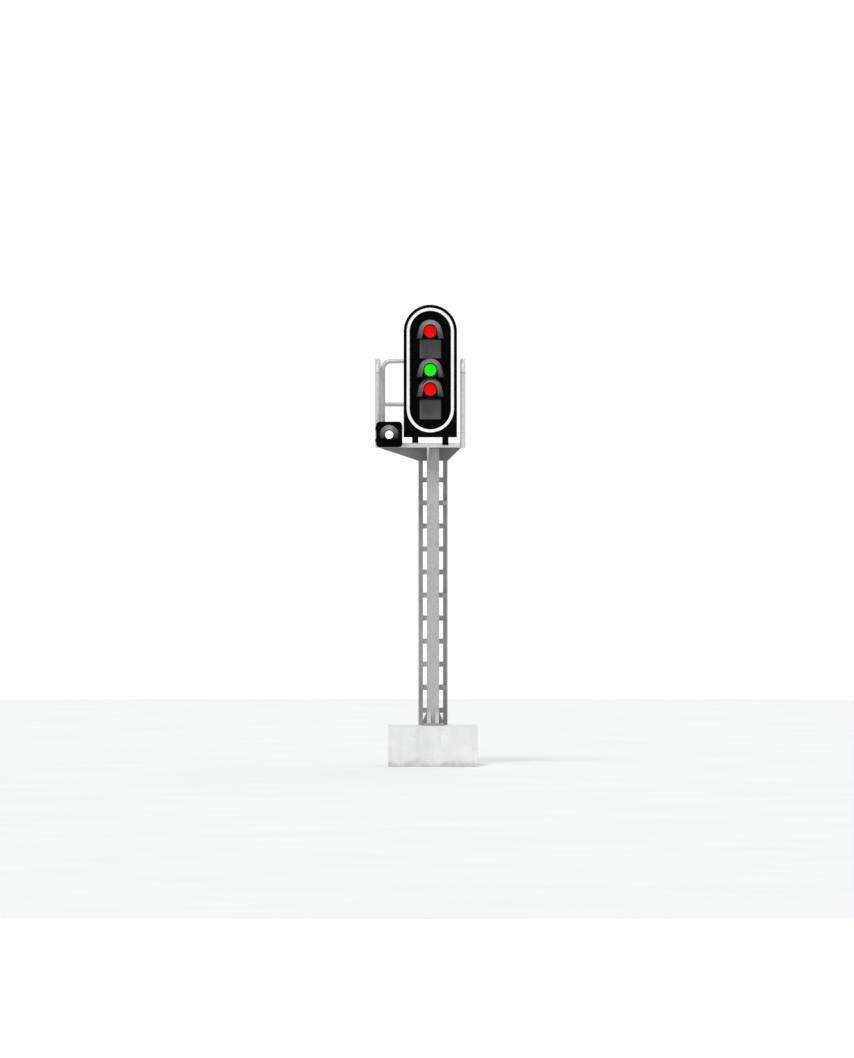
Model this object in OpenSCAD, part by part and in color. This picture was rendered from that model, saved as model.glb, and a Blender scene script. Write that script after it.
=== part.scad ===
// Railway colour-light signal on an H-beam mast, with a railed service platform and a ladder.
// Millimetres. +Z is up, -Y faces the driver. The origin is the centre of the foundation
// block's underside, on the mast's axis.

/* [Foundation] */
// Width and depth of the concrete block
block_w = 1155; // [900:5:1400]
// Height of the concrete block
block_h = 520; // [450:10:700]
// Bore radius of the cable duct
duct_r = 34; // [20:1:40]
// Radius of the anchor bolts
anchor_r = 12; // [8:1:12]

/* [Mast] */
// Width and depth of the H section
mast_w = 160; // [140:5:165]
// Height of the platform's underside above the ground
deck_z = 4125; // [4000:25:4300]
// Width and depth of the base plate
plate_w = 290; // [280:5:300]
// Thickness of the base plate
plate_t = 34; // [20:1:40]
// Height of the gussets and wedges at the mast's foot
gusset_h = 143; // [100:1:160]

/* [Platform] */
// Distance from the mast's axis to the platform's left edge
deck_left = 683; // [683:1:700]
// Distance from the mast's axis to the platform's right edge
deck_right = 353; // [345:1:380]
// Depth of the platform's edge frame
deck_h = 60; // [60:1:70]
// Height of the guard rails above the platform
rail_h = 1100; // [1000:10:1200]
// Height of the middle of the mid rails above the platform
mid_rail_h = 506; // [450:1:550]
// Tube diameter of the side guard rails
side_rail_d = 66; // [60:1:68]
// Tube diameter of the rear guard rail
rear_rail_d = 61; // [60:1:64]

/* [Ladder] */
// Overall width of the ladder
ladder_w = 378; // [370:1:400]
// Width of each stile
stile_w = 59; // [50:1:60]
// Height of each box-section rung
rung_h = 66; // [60:1:70]
// Distance between rungs
rung_pitch = 300; // [290:1:300]

/* [Signal head] */
// Width of the target panel
panel_w = 690; // [660:5:700]
// Sideways offset of the panel's axis from the mast
panel_x = -35; // [-40:1:-30]
// Outer radius of the white border band
border_r = 305; // [290:1:320]
// Width of the white border band
border_w = 37.5; // [25:0.5:40]
// Visible diameter of the lenses
lens_d = 160; // [150:1:160]
// Length of the hoods
hood_len = 280; // [150:5:300]

/* [Marker box] */
// Width of the marker box
marker_w = 340; // [330:1:340]
// Height of the marker box
marker_h = 331; // [325:1:335]
// Depth of the marker box's casing
marker_d = 132; // [120:1:135]
// Visible diameter of the marker's lens
marker_lens_d = 111; // [100:1:112]

/* [Hidden] */
$fn = 96;

// Colours
CONCRETE = "#e6e6e6";
MAST_GREY = "#b3b3b3";
LADDER_GREY = "#808080";
BRACKET_GREY = "#666666";
RAIL_GREY = "#cccccc";
PLATE_GREY = "#999999";
BLACK = "#111111";
BLANK_GREY = "#4d4d4d";
HOOD_GREY = "#707070";
ZINC = "#a8acb0";

// Clearances: fixed pieces in their holes, and shafts that turn
fit = 0.3;
run = 0.05;
// Overrun of a cutter past the face that it cuts
past = 1;

// Bolts: radii, and the lengths of their shanks
bolt_r = 6;
side_bolt_r = 8;
rail_bolt_r = 4;
side_bolt_l = 30;
rail_bolt_l = 45;
marker_bolt_l = 14;
floor_bolt_l = 80;
foot_cleat_bolt_l = 30;
top_cleat_bolt_l = 37;
bracket_bolt_l = 31;
upright_foot_bolt_l = 55;
lap_bolt_l = 17.5;
case_bolt_l = 12;

// Quarter-turn latches
latch_shaft_r = 6;
escutcheon_r = 15.6;
escutcheon_t = 10;
handle_t = 12;
tongue_w = 16;
tongue_l = 30;
tongue_t = 4.5;

// Foundation and mast
block_top = block_h;
plate_top = block_top + plate_t;
duct_y = 230;
duct_wall = 6;
duct_rise = 40;
anchor_x = 113;
anchor_y = 36;
anchor_z = 180;
anchor_top = plate_top + 40;
nut_flange_r = 21;
nut_flange_t = 3;
nut_h = 19;
nut_flats = 36;
gusset_t = 14;
wedge_w = 49;
wedge_x = 52;
flange_t = 13;
web_t = 8;
root_r = 15;
cap_t = 12;

// Platform
deck_top = deck_z + deck_h;
deck_front = -370;
deck_rear = 400;
frame_t = 8;
bracket_h = 170;
bracket_t = 10;
bracket_top_left = -702;
bracket_top_right = 366;
bracket_foot = 190;
rib_x = -78;
rib_w = 28;
joist_y = [-275, -55, 85, 305];
joist_w = 50;
joist_h = 30;
joist_wall = 3;
bar_t = 4;
bar_pitch = 39;
bar_x = -deck_left + frame_t + 5;
bar_count = floor((deck_right - frame_t - bar_t - bar_x) / bar_pitch) + 1;
rod_w = 6;
rod_pitch = 80;
rod_start = -310;
rod_count = 9;

// Guard rails
rail_top = deck_top + rail_h;
mid_rail_z = deck_top + mid_rail_h;
tube_wall = 4;
mid_rail_step = 3;
side_bend = 163;
rear_bend = 110;
side_leg_y = [deck_front + side_rail_d / 2, deck_rear - side_rail_d / 2];
rear_rail_y = 345;
rear_leg_x = [-deck_left + rear_rail_d / 2 + fit, -230];
rail_foot_w = 60;
rail_foot_d = 100;
rail_foot_t = 10;
rail_bolt_y = 38;
rail_bolt_z = deck_z + 15;

// Ladder
stile_y = [406, 431];
stile_x = ladder_w / 2 - stile_w;
rung_z = block_top + 190;
rung_count = floor((deck_z - rung_z) / rung_pitch) + 1;
rung_wall = 3;
bracket_rungs = [1, 5, 9];
ladder_bolt_x = 160;
foot_bolt_y = stile_y[1] + 30;
cleat_bolt_z = [block_top + 55, deck_top - 30];
arm_x = ladder_bolt_x + 13;
arm_t = 10;
arm_h = 60;
pad_t = 6;
pad_w = 38;
cleat_w = 50;
cleat_t = 6;
cleat_h = 80;

// Signal head
panel_t = 4;
panel_front = deck_front - 10 - panel_t;
panel_back = panel_front + panel_t;
panel_z = deck_top + 70;
lamp_pitch = 250;
top_lamp_z = deck_top + 1440;
lamp_z = [top_lamp_z, top_lamp_z - 2 * lamp_pitch, top_lamp_z - 3 * lamp_pitch];
border_t = 1.5;
border_foot_z = top_lamp_z - 4 * lamp_pitch;
upright_w = 80;
upright_x = [panel_x - 195, panel_x + 195];
upright_top = deck_top + 1375;
upright_lap = 29;
upright_foot_t = 10;
upright_rib_t = 6;
upright_rib_h = 60;
case_bolt_skin = 1.5;
foot_bolt_x = [upright_x[0] - 30.5, upright_x[0] + 8.5];
lap_bolt_x = [upright_x[1] - 20, upright_x[1] + 20];
lap_bolt_z = deck_top - 15;
case_bolt_x = [panel_x - 177, panel_x + 177];
case_bolt_z = [deck_top + 315, deck_top + 815, deck_top + 1265];

// Casing behind the panel
case_r = 200;
case_z = deck_top + 195;
case_front = deck_front;
case_rear = -190;
case_wall = 4;
case_lip = 20;
case_seam = 0.3;
door_gap = 4;
door_front = case_rear + door_gap;
door_rear = door_front + 21;
door_wall = 3;
seal_w = 11.5;
hinge_z = [deck_top + 415, deck_top + 865, deck_top + 1315];
hinge_x = panel_x - case_r - 7.5;
hinge_y = case_rear + door_gap / 2;
hinge_r = 7;
hinge_pin_r = 3.5;
knuckle_h = 30;
knuckle_gap = 0.5;
leaf_t = 4;
leaf_w = 45;
hinge_pin_l = 90;
hinge_pin_head = 5.5;
latch_x = panel_x + case_r - 40;
latch_z = [deck_top + 1315, deck_top + 465];

// Lamps and hoods
hood_wall = 3;
hood_foot = 94;
bezel_w = 10;
bezel_t = 6;
sleeve_r = lens_d / 2 + 7;
sleeve_wall = 3;
sleeve_len = 44;
dome_h = 11;
housing_r = sleeve_r + 4;
housing_len = 66;
holder_rear = case_front + 100;
holder_r = 20;
holder_len = 45;
bulb_cap_r = 12;
bulb_cap_depth = 30;
bulb_r = 19;
lens_seat = 12;
blank_w = 275;
blank_t = 3;
blank_corner = 10;
blank_z = [[top_lamp_z - 348, top_lamp_z - 107], [top_lamp_z - 1135, top_lamp_z - 888]];
strip_h = 26;
strip_t = 1;
loom_r = 5;
loom_x = panel_x - 115;
loom_y = -262;
terminal_y = -320;
terminal_z = case_z + 80;
terminal_w = 140;
terminal_pitch = 17;
gland_y = -280;
gland_r = 16;
gland_bore_r = 7;

// Marker box
marker_x = -566;
marker_z = deck_z;
marker_corner = 48;
marker_lens_z = marker_z + 163;
marker_rear = -430;
marker_front = marker_rear - marker_d;
marker_wall = 4;
marker_lip = 16;
marker_gap = 3;
marker_door_d = 20;
marker_face = marker_front - marker_gap - marker_door_d;
marker_hinge_x = marker_x - marker_w / 2 - 4.7;
marker_hinge_y = marker_front - marker_gap / 2;
marker_hinge_z = [marker_z + 88, marker_z + 243];
marker_hinge_r = 4.5;
marker_pin_r = 2;
marker_knuckle_h = 16;
marker_latch_x = marker_x + marker_w / 2 - 44;
marker_latch_z = marker_z + 92;
marker_bolt_x = 24;
marker_bolt_z = deck_z + 30;
marker_plate_t = 8;
marker_plate_w = 68;
marker_leaf_t = 2.5;
marker_socket_r = 18;
marker_socket_l = 40;
marker_hood_len = 160;
marker_hood_foot = 50;
swivel_y = -398;
swivel_r = 14;
swivel_pin_r = 6;
swivel_z = marker_z + 155;
swivel_h = 110;
lug_h = 24;

// A block between two opposite corners
module span(low, high) {
    translate(low) cube(high - low);
}

// A plate drawn in X and Z, lying between two Y planes
module plate_xz(y0, y1) {
    translate([0, y1, 0]) rotate([90, 0, 0]) linear_extrude(y1 - y0) children();
}

// A plate drawn in Y and Z, lying between two X planes
module plate_yz(x0, x1) {
    translate([x0, 0, 0]) rotate([90, 0, 90]) linear_extrude(x1 - x0) children();
}

// A round bar along Y between two Y planes
module rod_y(r, y0, y1) {
    translate([0, y1, 0]) rotate([90, 0, 0]) cylinder(r = r, h = y1 - y0);
}

// A hexagon of a given size across flats
module hexagon(flats) {
    circle(d = flats / cos(30), $fn = 6);
}

// A hex bolt whose shank runs down from the underside of its head
module bolt(r, shank) {
    linear_extrude(1.2 * r) hexagon(3.2 * r);
    translate([0, 0, -shank]) cylinder(r = r, h = shank + past);
}

// A flat shape with straight sides and a half-round top
module arched(x, half, z0, z1) {
    translate([x, z1]) circle(half);
    translate([x - half, z0]) square([2 * half, z1 - z0]);
}

// A flat shape with both ends half-round
module stadium(x, r, z0, z1) {
    arched(x, r, z0, z1);
    translate([x, z0]) circle(r);
}

// A flat rectangle with round corners, centred across and standing on its base line
module round_rect(w, h, r) {
    for (x = [r - w / 2, w / 2 - r], z = [r, h - r]) translate([x, z]) circle(r);
    translate([r - w / 2, 0]) square([w - 2 * r, h]);
    translate([-w / 2, r]) square([w, h - 2 * r]);
}

// A quarter-turn latch: handle, shaft, and a tongue that hangs down when it is free
module latch(handle_l, handle_w, shaft_l) {
    rod_y(escutcheon_r, fit, escutcheon_t);
    plate_xz(escutcheon_t - past, escutcheon_t + handle_t)
        translate([-handle_w / 2, -handle_l / 2]) round_bar(handle_w, handle_l);
    rod_y(latch_shaft_r, -shaft_l, past);
    plate_xz(-shaft_l, tongue_t - shaft_l)
        translate([-tongue_w / 2, -tongue_l]) square([tongue_w, tongue_l + tongue_w / 2]);
}

// A flat bar with round ends, drawn upward from its lower left corner
module round_bar(w, l) {
    translate([w / 2, w / 2]) circle(w / 2);
    translate([w / 2, l - w / 2]) circle(w / 2);
    translate([0, w / 2]) square([w, l - w]);
}

// ---- Foundation and mast ----

module at_anchors() {
    for (x = [-anchor_x, anchor_x], y = [-anchor_y, anchor_y]) translate([x, y, 0]) children();
}

module at_ladder_feet() {
    for (side = [-1, 1]) translate([side * ladder_bolt_x, foot_bolt_y, block_top]) children();
}

module foundation_block() {
    color(CONCRETE) difference() {
        span([-block_w / 2, -block_w / 2, 0], [block_w / 2, block_w / 2, block_top]);
        translate([0, duct_y, -past]) cylinder(r = duct_r + duct_wall, h = block_top + 2 * past);
        at_anchors() translate([0, 0, anchor_z]) cylinder(r = anchor_r + fit, h = block_top);
        at_ladder_feet() translate([0, 0, -floor_bolt_l])
            cylinder(r = bolt_r + fit, h = floor_bolt_l + past);
    }
}

module cable_duct() {
    color("#3a3f45") translate([0, duct_y, 0]) difference() {
        cylinder(r = duct_r + duct_wall, h = block_top + duct_rise);
        translate([0, 0, -past]) cylinder(r = duct_r, h = block_top + duct_rise + 2 * past);
    }
}

module anchor_bolts() {
    color(ZINC) at_anchors() translate([0, 0, anchor_z + fit])
        cylinder(r = anchor_r, h = anchor_top - anchor_z);
}

module anchor_nuts() {
    color(ZINC) at_anchors() translate([0, 0, plate_top]) difference() {
        union() {
            cylinder(r = nut_flange_r, h = nut_flange_t);
            linear_extrude(nut_flange_t + nut_h) hexagon(nut_flats);
        }
        translate([0, 0, -past]) cylinder(r = anchor_r + fit, h = nut_h + 5 * past);
    }
}

module base_plate() {
    color(PLATE_GREY) difference() {
        span([-plate_w / 2, -plate_w / 2, block_top], [plate_w / 2, plate_w / 2, plate_top]);
        at_anchors() translate([0, 0, block_top - past]) cylinder(r = anchor_r + 1, h = plate_t + 2 * past);
    }
}

// The corner between the mast and the base plate
module foot_triangle() {
    polygon([
        [mast_w / 2, plate_top],
        [plate_w / 2, plate_top],
        [mast_w / 2, plate_top + gusset_h]
    ]);
}

module base_gussets() {
    color(BRACKET_GREY) for (mx = [0, 1], my = [0, 1]) mirror([mx, 0, 0]) mirror([0, my, 0])
        plate_xz(mast_w / 2 - gusset_t, mast_w / 2) foot_triangle();
}

module base_wedges() {
    color(RAIL_GREY) for (mx = [0, 1], my = [0, 1]) mirror([mx, 0, 0]) mirror([0, my, 0])
        plate_yz(wedge_x - wedge_w / 2, wedge_x + wedge_w / 2) foot_triangle();
}

// Cross-section of the mast: a square with a round-cornered channel cut into each side
module h_section() {
    inside = mast_w - 2 * flange_t;
    difference() {
        square(mast_w, center = true);
        for (side = [-1, 1]) translate([side * (web_t + mast_w) / 2, -inside / 2])
            round_rect(mast_w, inside, root_r);
    }
}

module mast_beam() {
    color(MAST_GREY) translate([0, 0, plate_top]) linear_extrude(deck_z - cap_t - plate_top) h_section();
}

module mast_cap() {
    half = mast_w / 2;
    color(MAST_GREY) span([-half, -half, deck_z - cap_t], [half, half, deck_z]);
}

// ---- Platform ----

module platform_bracket() {
    color(BRACKET_GREY) plate_xz(mast_w / 2, mast_w / 2 + bracket_t) polygon([
        [bracket_top_left, deck_z],
        [bracket_top_right, deck_z],
        [bracket_foot, deck_z - bracket_h],
        [-bracket_foot, deck_z - bracket_h]
    ]);
}

module platform_rib() {
    color(RAIL_GREY) plate_yz(rib_x, rib_x + rib_w) polygon([
        [deck_front, deck_z],
        [-mast_w / 2, deck_z],
        [-mast_w / 2, deck_z - bracket_h]
    ]);
}

module side_bolt_holes() {
    for (y = side_leg_y) translate([-deck_left - side_rail_d, y, rail_bolt_z]) rotate([0, 90, 0])
        cylinder(r = side_bolt_r + fit, h = deck_left + deck_right + 2 * side_rail_d);
}

// A bolt hole through the frame's front bar
module frame_hole() {
    rod_y(bolt_r + fit, deck_front - past, deck_front + frame_t + past);
}

module at_marker_bolts() {
    for (side = [-1, 1]) translate([marker_x + side * marker_bolt_x, 0, marker_bolt_z]) children();
}

module deck_frame() {
    color(RAIL_GREY) difference() {
        span([-deck_left, deck_front, deck_z], [deck_right, deck_rear, deck_top]);
        span(
            [frame_t - deck_left, deck_front + frame_t, deck_z - past],
            [deck_right - frame_t, deck_rear - frame_t, deck_top + past]
        );
        side_bolt_holes();
        for (x = lap_bolt_x) translate([x, 0, lap_bolt_z]) frame_hole();
        at_marker_bolts() frame_hole();
        at_ladder_bolts() cylinder(r = bolt_r + fit, h = 48);
    }
}

module deck_joists() {
    x0 = frame_t - deck_left;
    x1 = deck_right - frame_t;
    half = joist_w / 2;
    color(PLATE_GREY) difference() {
        for (y = joist_y) difference() {
            span([x0, y - half, deck_z], [x1, y + half, deck_z + joist_h]);
            span(
                [x0 - past, y - half + joist_wall, deck_z + joist_wall],
                [x1 + past, y + half - joist_wall, deck_z + joist_h - joist_wall]
            );
        }
        for (x = foot_bolt_x) translate([x, joist_y[0], deck_z + 10])
            cylinder(r = bolt_r + fit, h = joist_h);
        for (x = rear_leg_x) translate([x, rear_rail_y - rail_bolt_y, deck_z + 10])
            cylinder(r = rail_bolt_r + fit, h = joist_h);
    }
}

module deck_grating() {
    x0 = frame_t - deck_left + fit;
    x1 = deck_right - frame_t - fit;
    y0 = deck_front + frame_t + fit;
    y1 = deck_rear - frame_t - fit;
    z0 = deck_z + joist_h;
    color(MAST_GREY) {
        for (i = [0:bar_count - 1]) {
            x = bar_x + i * bar_pitch;
            span([x - bar_t / 2, y0, z0], [x + bar_t / 2, y1, deck_top]);
        }
        for (i = [0:rod_count - 1]) {
            y = rod_start + i * rod_pitch;
            span([x0, y - rod_w / 2, deck_top - rod_w - 2], [x1, y + rod_w / 2, deck_top - 2]);
        }
        for (y = [y0, y1 - bar_t]) span([x0, y, z0], [x1, y + bar_t, deck_top]);
    }
}

// An inverted U of tube with a mid rail, drawn in X and Z
module rail_loop(u0, u1, z0, top, r, mid_r, bend, cut) {
    straight = top - bend;
    for (u = [u0, u1]) translate([u, 0, z0 - cut]) cylinder(r = r, h = straight - z0 + cut);
    translate([u0 + bend, 0, top]) rotate([0, 90, 0]) cylinder(r = r, h = u1 - u0 - 2 * bend);
    translate([u0, 0, mid_rail_z]) rotate([0, 90, 0]) cylinder(r = mid_r, h = u1 - u0);
    translate([u1 - bend, 0, straight]) rotate([90, 0, 0])
        rotate_extrude(angle = 90) translate([bend, 0]) circle(r);
    translate([u0 + bend, 0, straight]) mirror([1, 0, 0]) rotate([90, 0, 0])
        rotate_extrude(angle = 90) translate([bend, 0]) circle(r);
}

module guard_rail(u0, u1, z0, d, bend) {
    r = d / 2;
    mid_r = r - mid_rail_step;
    top = rail_top - r;
    difference() {
        rail_loop(u0, u1, z0, top, r, mid_r, bend, 0);
        rail_loop(u0, u1, z0, top, r - tube_wall, mid_r - tube_wall, bend, past);
    }
}

module side_rail(x) {
    difference() {
        translate([x, 0, 0]) rotate([0, 0, 90]) guard_rail(
            side_leg_y[0], side_leg_y[1], deck_z, side_rail_d, side_bend
        );
        side_bolt_holes_inner(x);
    }
}

// Holes through the inner wall of a side rail's legs only
module side_bolt_holes_inner(x) {
    side = x < 0 ? 1 : -1;
    for (y = side_leg_y) translate([x, y, rail_bolt_z]) rotate([0, side * 90, 0])
        cylinder(r = side_bolt_r + fit, h = side_rail_d);
}

module guard_rail_left() {
    color(RAIL_GREY) side_rail(-deck_left - side_rail_d / 2);
}

module guard_rail_right() {
    color(RAIL_GREY) side_rail(deck_right + side_rail_d / 2);
}

module guard_rail_rear() {
    foot_top = deck_top + rail_foot_t;
    color(MAST_GREY) translate([0, rear_rail_y, 0]) {
        guard_rail(rear_leg_x[0], rear_leg_x[1], foot_top, rear_rail_d, rear_bend);
        for (x = rear_leg_x) difference() {
            span(
                [x - rail_foot_w / 2, -rail_foot_d / 2, deck_top],
                [x + rail_foot_w / 2, rail_foot_d / 2, foot_top]
            );
            for (y = [-rail_bolt_y, rail_bolt_y]) translate([x, y, deck_top - past])
                cylinder(r = rail_bolt_r + fit, h = rail_foot_t + 2 * past);
        }
    }
}

module platform_bolts() {
    color(ZINC) {
        for (y = side_leg_y, side = [-1, 1]) translate([
            side < 0 ? frame_t - deck_left : deck_right - frame_t, y, rail_bolt_z
        ]) rotate([0, -side * 90, 0]) bolt(side_bolt_r, side_bolt_l);
        for (x = rear_leg_x, y = [-rail_bolt_y, rail_bolt_y])
            translate([x, rear_rail_y + y, deck_top + rail_foot_t]) bolt(rail_bolt_r, rail_bolt_l);
        at_marker_bolts() translate([0, deck_front - marker_plate_t, 0]) rotate([90, 0, 0])
            bolt(bolt_r, marker_bolt_l);
    }
}

// ---- Ladder ----

module stile(side) {
    x = side * (stile_x + stile_w / 2);
    difference() {
        span([x - stile_w / 2, stile_y[0], block_top], [x + stile_w / 2, stile_y[1], deck_top]);
        at_ladder_bolts() cylinder(r = bolt_r + fit, h = 40 + 2 * past);
    }
}

// Bolt axes through the stiles, running forward from their rear faces
module at_ladder_bolts() {
    heights = concat(cleat_bolt_z, [for (i = bracket_rungs) rung_z + i * rung_pitch]);
    for (x = [-ladder_bolt_x, ladder_bolt_x], z = heights)
        translate([x, stile_y[1] + cleat_t + past, z]) rotate([90, 0, 0]) children();
}

module ladder_stiles() {
    color(LADDER_GREY) for (side = [-1, 1]) stile(side);
}

module ladder_rungs() {
    color(LADDER_GREY) for (i = [0:rung_count - 1]) {
        z = rung_z + i * rung_pitch;
        difference() {
            span([-stile_x, stile_y[0], z - rung_h / 2], [stile_x, stile_y[1], z + rung_h / 2]);
            span(
                [-stile_x - past, stile_y[0] + rung_wall, z - rung_h / 2 + rung_wall],
                [stile_x + past, stile_y[1] - rung_wall, z + rung_h / 2 - rung_wall]
            );
        }
    }
}

// Three brackets, each a bar across the mast's rear face with an arm and a pad at both ends
module ladder_brackets() {
    bar_rear = mast_w / 2 + bracket_t;
    arm_end = arm_x + arm_t;
    color(LADDER_GREY) for (i = bracket_rungs) translate([0, 0, rung_z + i * rung_pitch - arm_h / 2]) {
        span([-arm_end, mast_w / 2, 0], [arm_end, bar_rear, arm_h]);
        for (side = [0, 1]) mirror([side, 0, 0]) {
            span([arm_x, bar_rear - past, 0], [arm_end, stile_y[0], arm_h]);
            difference() {
                span([arm_x + past - pad_w, stile_y[0] - pad_t, 0], [arm_x + past, stile_y[0], arm_h]);
                translate([ladder_bolt_x, 0, arm_h / 2])
                    rod_y(bolt_r + fit, stile_y[0] - pad_t - past, stile_y[0] + past);
            }
        }
    }
}

module ladder_cleats() {
    y = stile_y[1];
    color(LADDER_GREY) for (side = [-1, 1]) {
        x = side * ladder_bolt_x;
        difference() {
            union() {
                span([x - cleat_w / 2, y, block_top], [x + cleat_w / 2, y + cleat_t, block_top + cleat_h]);
                span([x - cleat_w / 2, y, block_top], [x + cleat_w / 2, y + cleat_w, block_top + cleat_t]);
            }
            at_ladder_bolts() cylinder(r = bolt_r + fit, h = 40);
            at_ladder_feet() translate([0, 0, -past]) cylinder(r = bolt_r + fit, h = cleat_t + 2 * past);
        }
        difference() {
            span(
                [x - cleat_w / 2, deck_rear, deck_top - deck_h + 5],
                [x + cleat_w / 2, stile_y[0], deck_top - 5]
            );
            at_ladder_bolts() cylinder(r = bolt_r + fit, h = 40);
        }
    }
}

module ladder_bolts() {
    color(ZINC) {
        for (x = [-ladder_bolt_x, ladder_bolt_x]) translate([x, stile_y[1], 0]) {
            translate([0, cleat_t, cleat_bolt_z[0]]) rotate([-90, 0, 0]) bolt(bolt_r, foot_cleat_bolt_l);
            translate([0, 0, cleat_bolt_z[1]]) rotate([-90, 0, 0]) bolt(bolt_r, top_cleat_bolt_l);
            for (i = bracket_rungs) translate([0, 0, rung_z + i * rung_pitch])
                rotate([-90, 0, 0]) bolt(bolt_r, bracket_bolt_l);
        }
        at_ladder_feet() translate([0, 0, cleat_t]) bolt(bolt_r, floor_bolt_l);
    }
}

// ---- Target panel and its uprights ----

module at_lamps() {
    for (z = lamp_z) translate([panel_x, 0, z]) children();
}

module target_panel() {
    color(BLACK) difference() {
        plate_xz(panel_front, panel_back) arched(panel_x, panel_w / 2, panel_z, top_lamp_z);
        at_lamps() rod_y(sleeve_r + fit, panel_front - past, panel_back + past);
    }
}

module target_border() {
    color("white") plate_xz(panel_front - border_t, panel_front) difference() {
        stadium(panel_x, border_r, border_foot_z, top_lamp_z);
        stadium(panel_x, border_r - border_w, border_foot_z, top_lamp_z);
    }
}

module upright(x, z0) {
    difference() {
        span([x - upright_w / 2, panel_back, z0], [x + upright_w / 2, case_front, upright_top]);
        for (bx = case_bolt_x, z = case_bolt_z) translate([bx, 0, z])
            rod_y(bolt_r + fit, panel_back + case_bolt_skin, case_front + past);
        for (bx = lap_bolt_x) translate([bx, 0, lap_bolt_z])
            rod_y(bolt_r + fit, panel_back - past, case_front + past);
    }
}

module upright_left() {
    x = upright_x[0];
    foot_rear = joist_y[0] + joist_w / 2;
    color(BLACK) difference() {
        union() {
            upright(x, deck_top);
            span(
                [x - upright_w / 2, panel_back, deck_top],
                [x + upright_w / 2, foot_rear, deck_top + upright_foot_t]
            );
            plate_yz(x - 9, x - 9 + upright_rib_t) polygon([
                [case_front - past, deck_top + upright_foot_t - past],
                [foot_rear - joist_w, deck_top + upright_foot_t - past],
                [case_front - past, deck_top + upright_foot_t + upright_rib_h]
            ]);
        }
        for (bx = foot_bolt_x) translate([bx, joist_y[0], deck_top - past])
            cylinder(r = bolt_r + fit, h = upright_foot_t + 2 * past);
    }
}

module upright_right() {
    color(BLACK) upright(upright_x[1], deck_top - upright_lap);
}

module upright_bolts() {
    color(BLACK) {
        for (x = foot_bolt_x) translate([x, joist_y[0], deck_top + upright_foot_t])
            bolt(bolt_r, upright_foot_bolt_l);
        for (x = lap_bolt_x) translate([x, panel_back, lap_bolt_z]) rotate([90, 0, 0])
            bolt(bolt_r, lap_bolt_l);
        for (x = case_bolt_x, z = case_bolt_z) translate([x, case_front + case_wall, z])
            rotate([-90, 0, 0]) bolt(bolt_r, case_bolt_l);
    }
}

// ---- Casing behind the panel ----

module case_outline(inset) {
    arched(panel_x, case_r - inset, case_z + inset, top_lamp_z);
}

// One knuckle and the leaf that ties it to the wall beside it
module knuckle(x, y, r, pin_r, leaf_x, y0, y1, z0, z1) {
    difference() {
        union() {
            translate([x, y, z0]) cylinder(r = r, h = z1 - z0);
            span([leaf_x[0], y0, z0], [leaf_x[1], y1, z1]);
        }
        translate([x, y, z0 - past]) cylinder(r = pin_r + run, h = z1 - z0 + 2 * past);
    }
}

module fixed_knuckles(z, x, y, r, pin_r, leaf_x, y0, half) {
    for (up = [-1, 1]) {
        z0 = z + (up > 0 ? half + knuckle_gap : -2.6 * half);
        z1 = z + (up > 0 ? 2.6 * half : -half - knuckle_gap);
        knuckle(x, y, r, pin_r, leaf_x, y0, y, z0, z1);
    }
}

module casing_back() {
    inner = case_front + case_wall;
    color(BLACK) difference() {
        plate_xz(case_front, inner) case_outline(0);
        at_lamps() rod_y(sleeve_r + fit, case_front - past, inner + past);
        for (x = case_bolt_x, z = case_bolt_z) translate([x, 0, z])
            rod_y(bolt_r + fit, case_front - past, inner + past);
    }
}

// The casing's walls: a folded tray and, above its seam, the rolled top, both welded to the back
module head_casing() {
    leaf = [panel_x - case_r - leaf_t, panel_x - case_r];
    color(BLACK) {
        difference() {
            plate_xz(case_front + case_wall, case_rear - case_wall) difference() {
                case_outline(0);
                case_outline(case_wall);
            }
            span(
                [panel_x - case_r - past, case_front, top_lamp_z],
                [panel_x + case_r + past, case_rear, top_lamp_z + case_seam]
            );
            translate([panel_x, gland_y, case_z - past]) cylinder(r = gland_r + fit, h = 2 * case_wall);
        }
        for (z = hinge_z) fixed_knuckles(
            z, hinge_x, hinge_y, hinge_r, hinge_pin_r, leaf, case_rear - leaf_w, knuckle_h / 2
        );
    }
}

// The flat frame that closes on the door's seal and holds the latches' tongues
module casing_rim() {
    color(BLACK) plate_xz(case_rear - case_wall, case_rear) difference() {
        case_outline(0);
        case_outline(case_wall + case_lip);
    }
}

module casing_door() {
    leaf = [panel_x - case_r - leaf_t, panel_x - case_r];
    half = knuckle_h / 2;
    color(BLACK) {
        difference() {
            plate_xz(door_front, door_rear) case_outline(0);
            plate_xz(door_front - past, door_rear - door_wall) case_outline(door_wall);
            for (z = latch_z) translate([latch_x, 0, z])
                rod_y(latch_shaft_r + run, door_front, door_rear + past);
        }
        for (z = hinge_z) knuckle(
            hinge_x, hinge_y, hinge_r, hinge_pin_r, leaf, door_front, door_rear, z - half, z + half
        );
    }
}

module door_seal() {
    color("#2b2b2b") plate_xz(case_rear, door_front - fit) difference() {
        case_outline(fit);
        case_outline(seal_w);
    }
}

module door_hinge_pins() {
    color(ZINC) for (z = hinge_z) translate([hinge_x, hinge_y, z - hinge_pin_l / 2]) {
        cylinder(r = hinge_pin_r, h = hinge_pin_l);
        translate([0, 0, hinge_pin_l - hinge_pin_head]) cylinder(r = hinge_pin_r + 1.5, h = hinge_pin_head);
    }
}

module door_handle(z) {
    shaft = door_rear - case_rear + case_wall + 5;
    translate([latch_x, door_rear, z]) latch(90, 18, shaft);
}

module door_handle_upper() {
    color(ZINC) door_handle(latch_z[0]);
}

module door_handle_lower() {
    color(ZINC) door_handle(latch_z[1]);
}

// ---- Hoods ----

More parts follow.
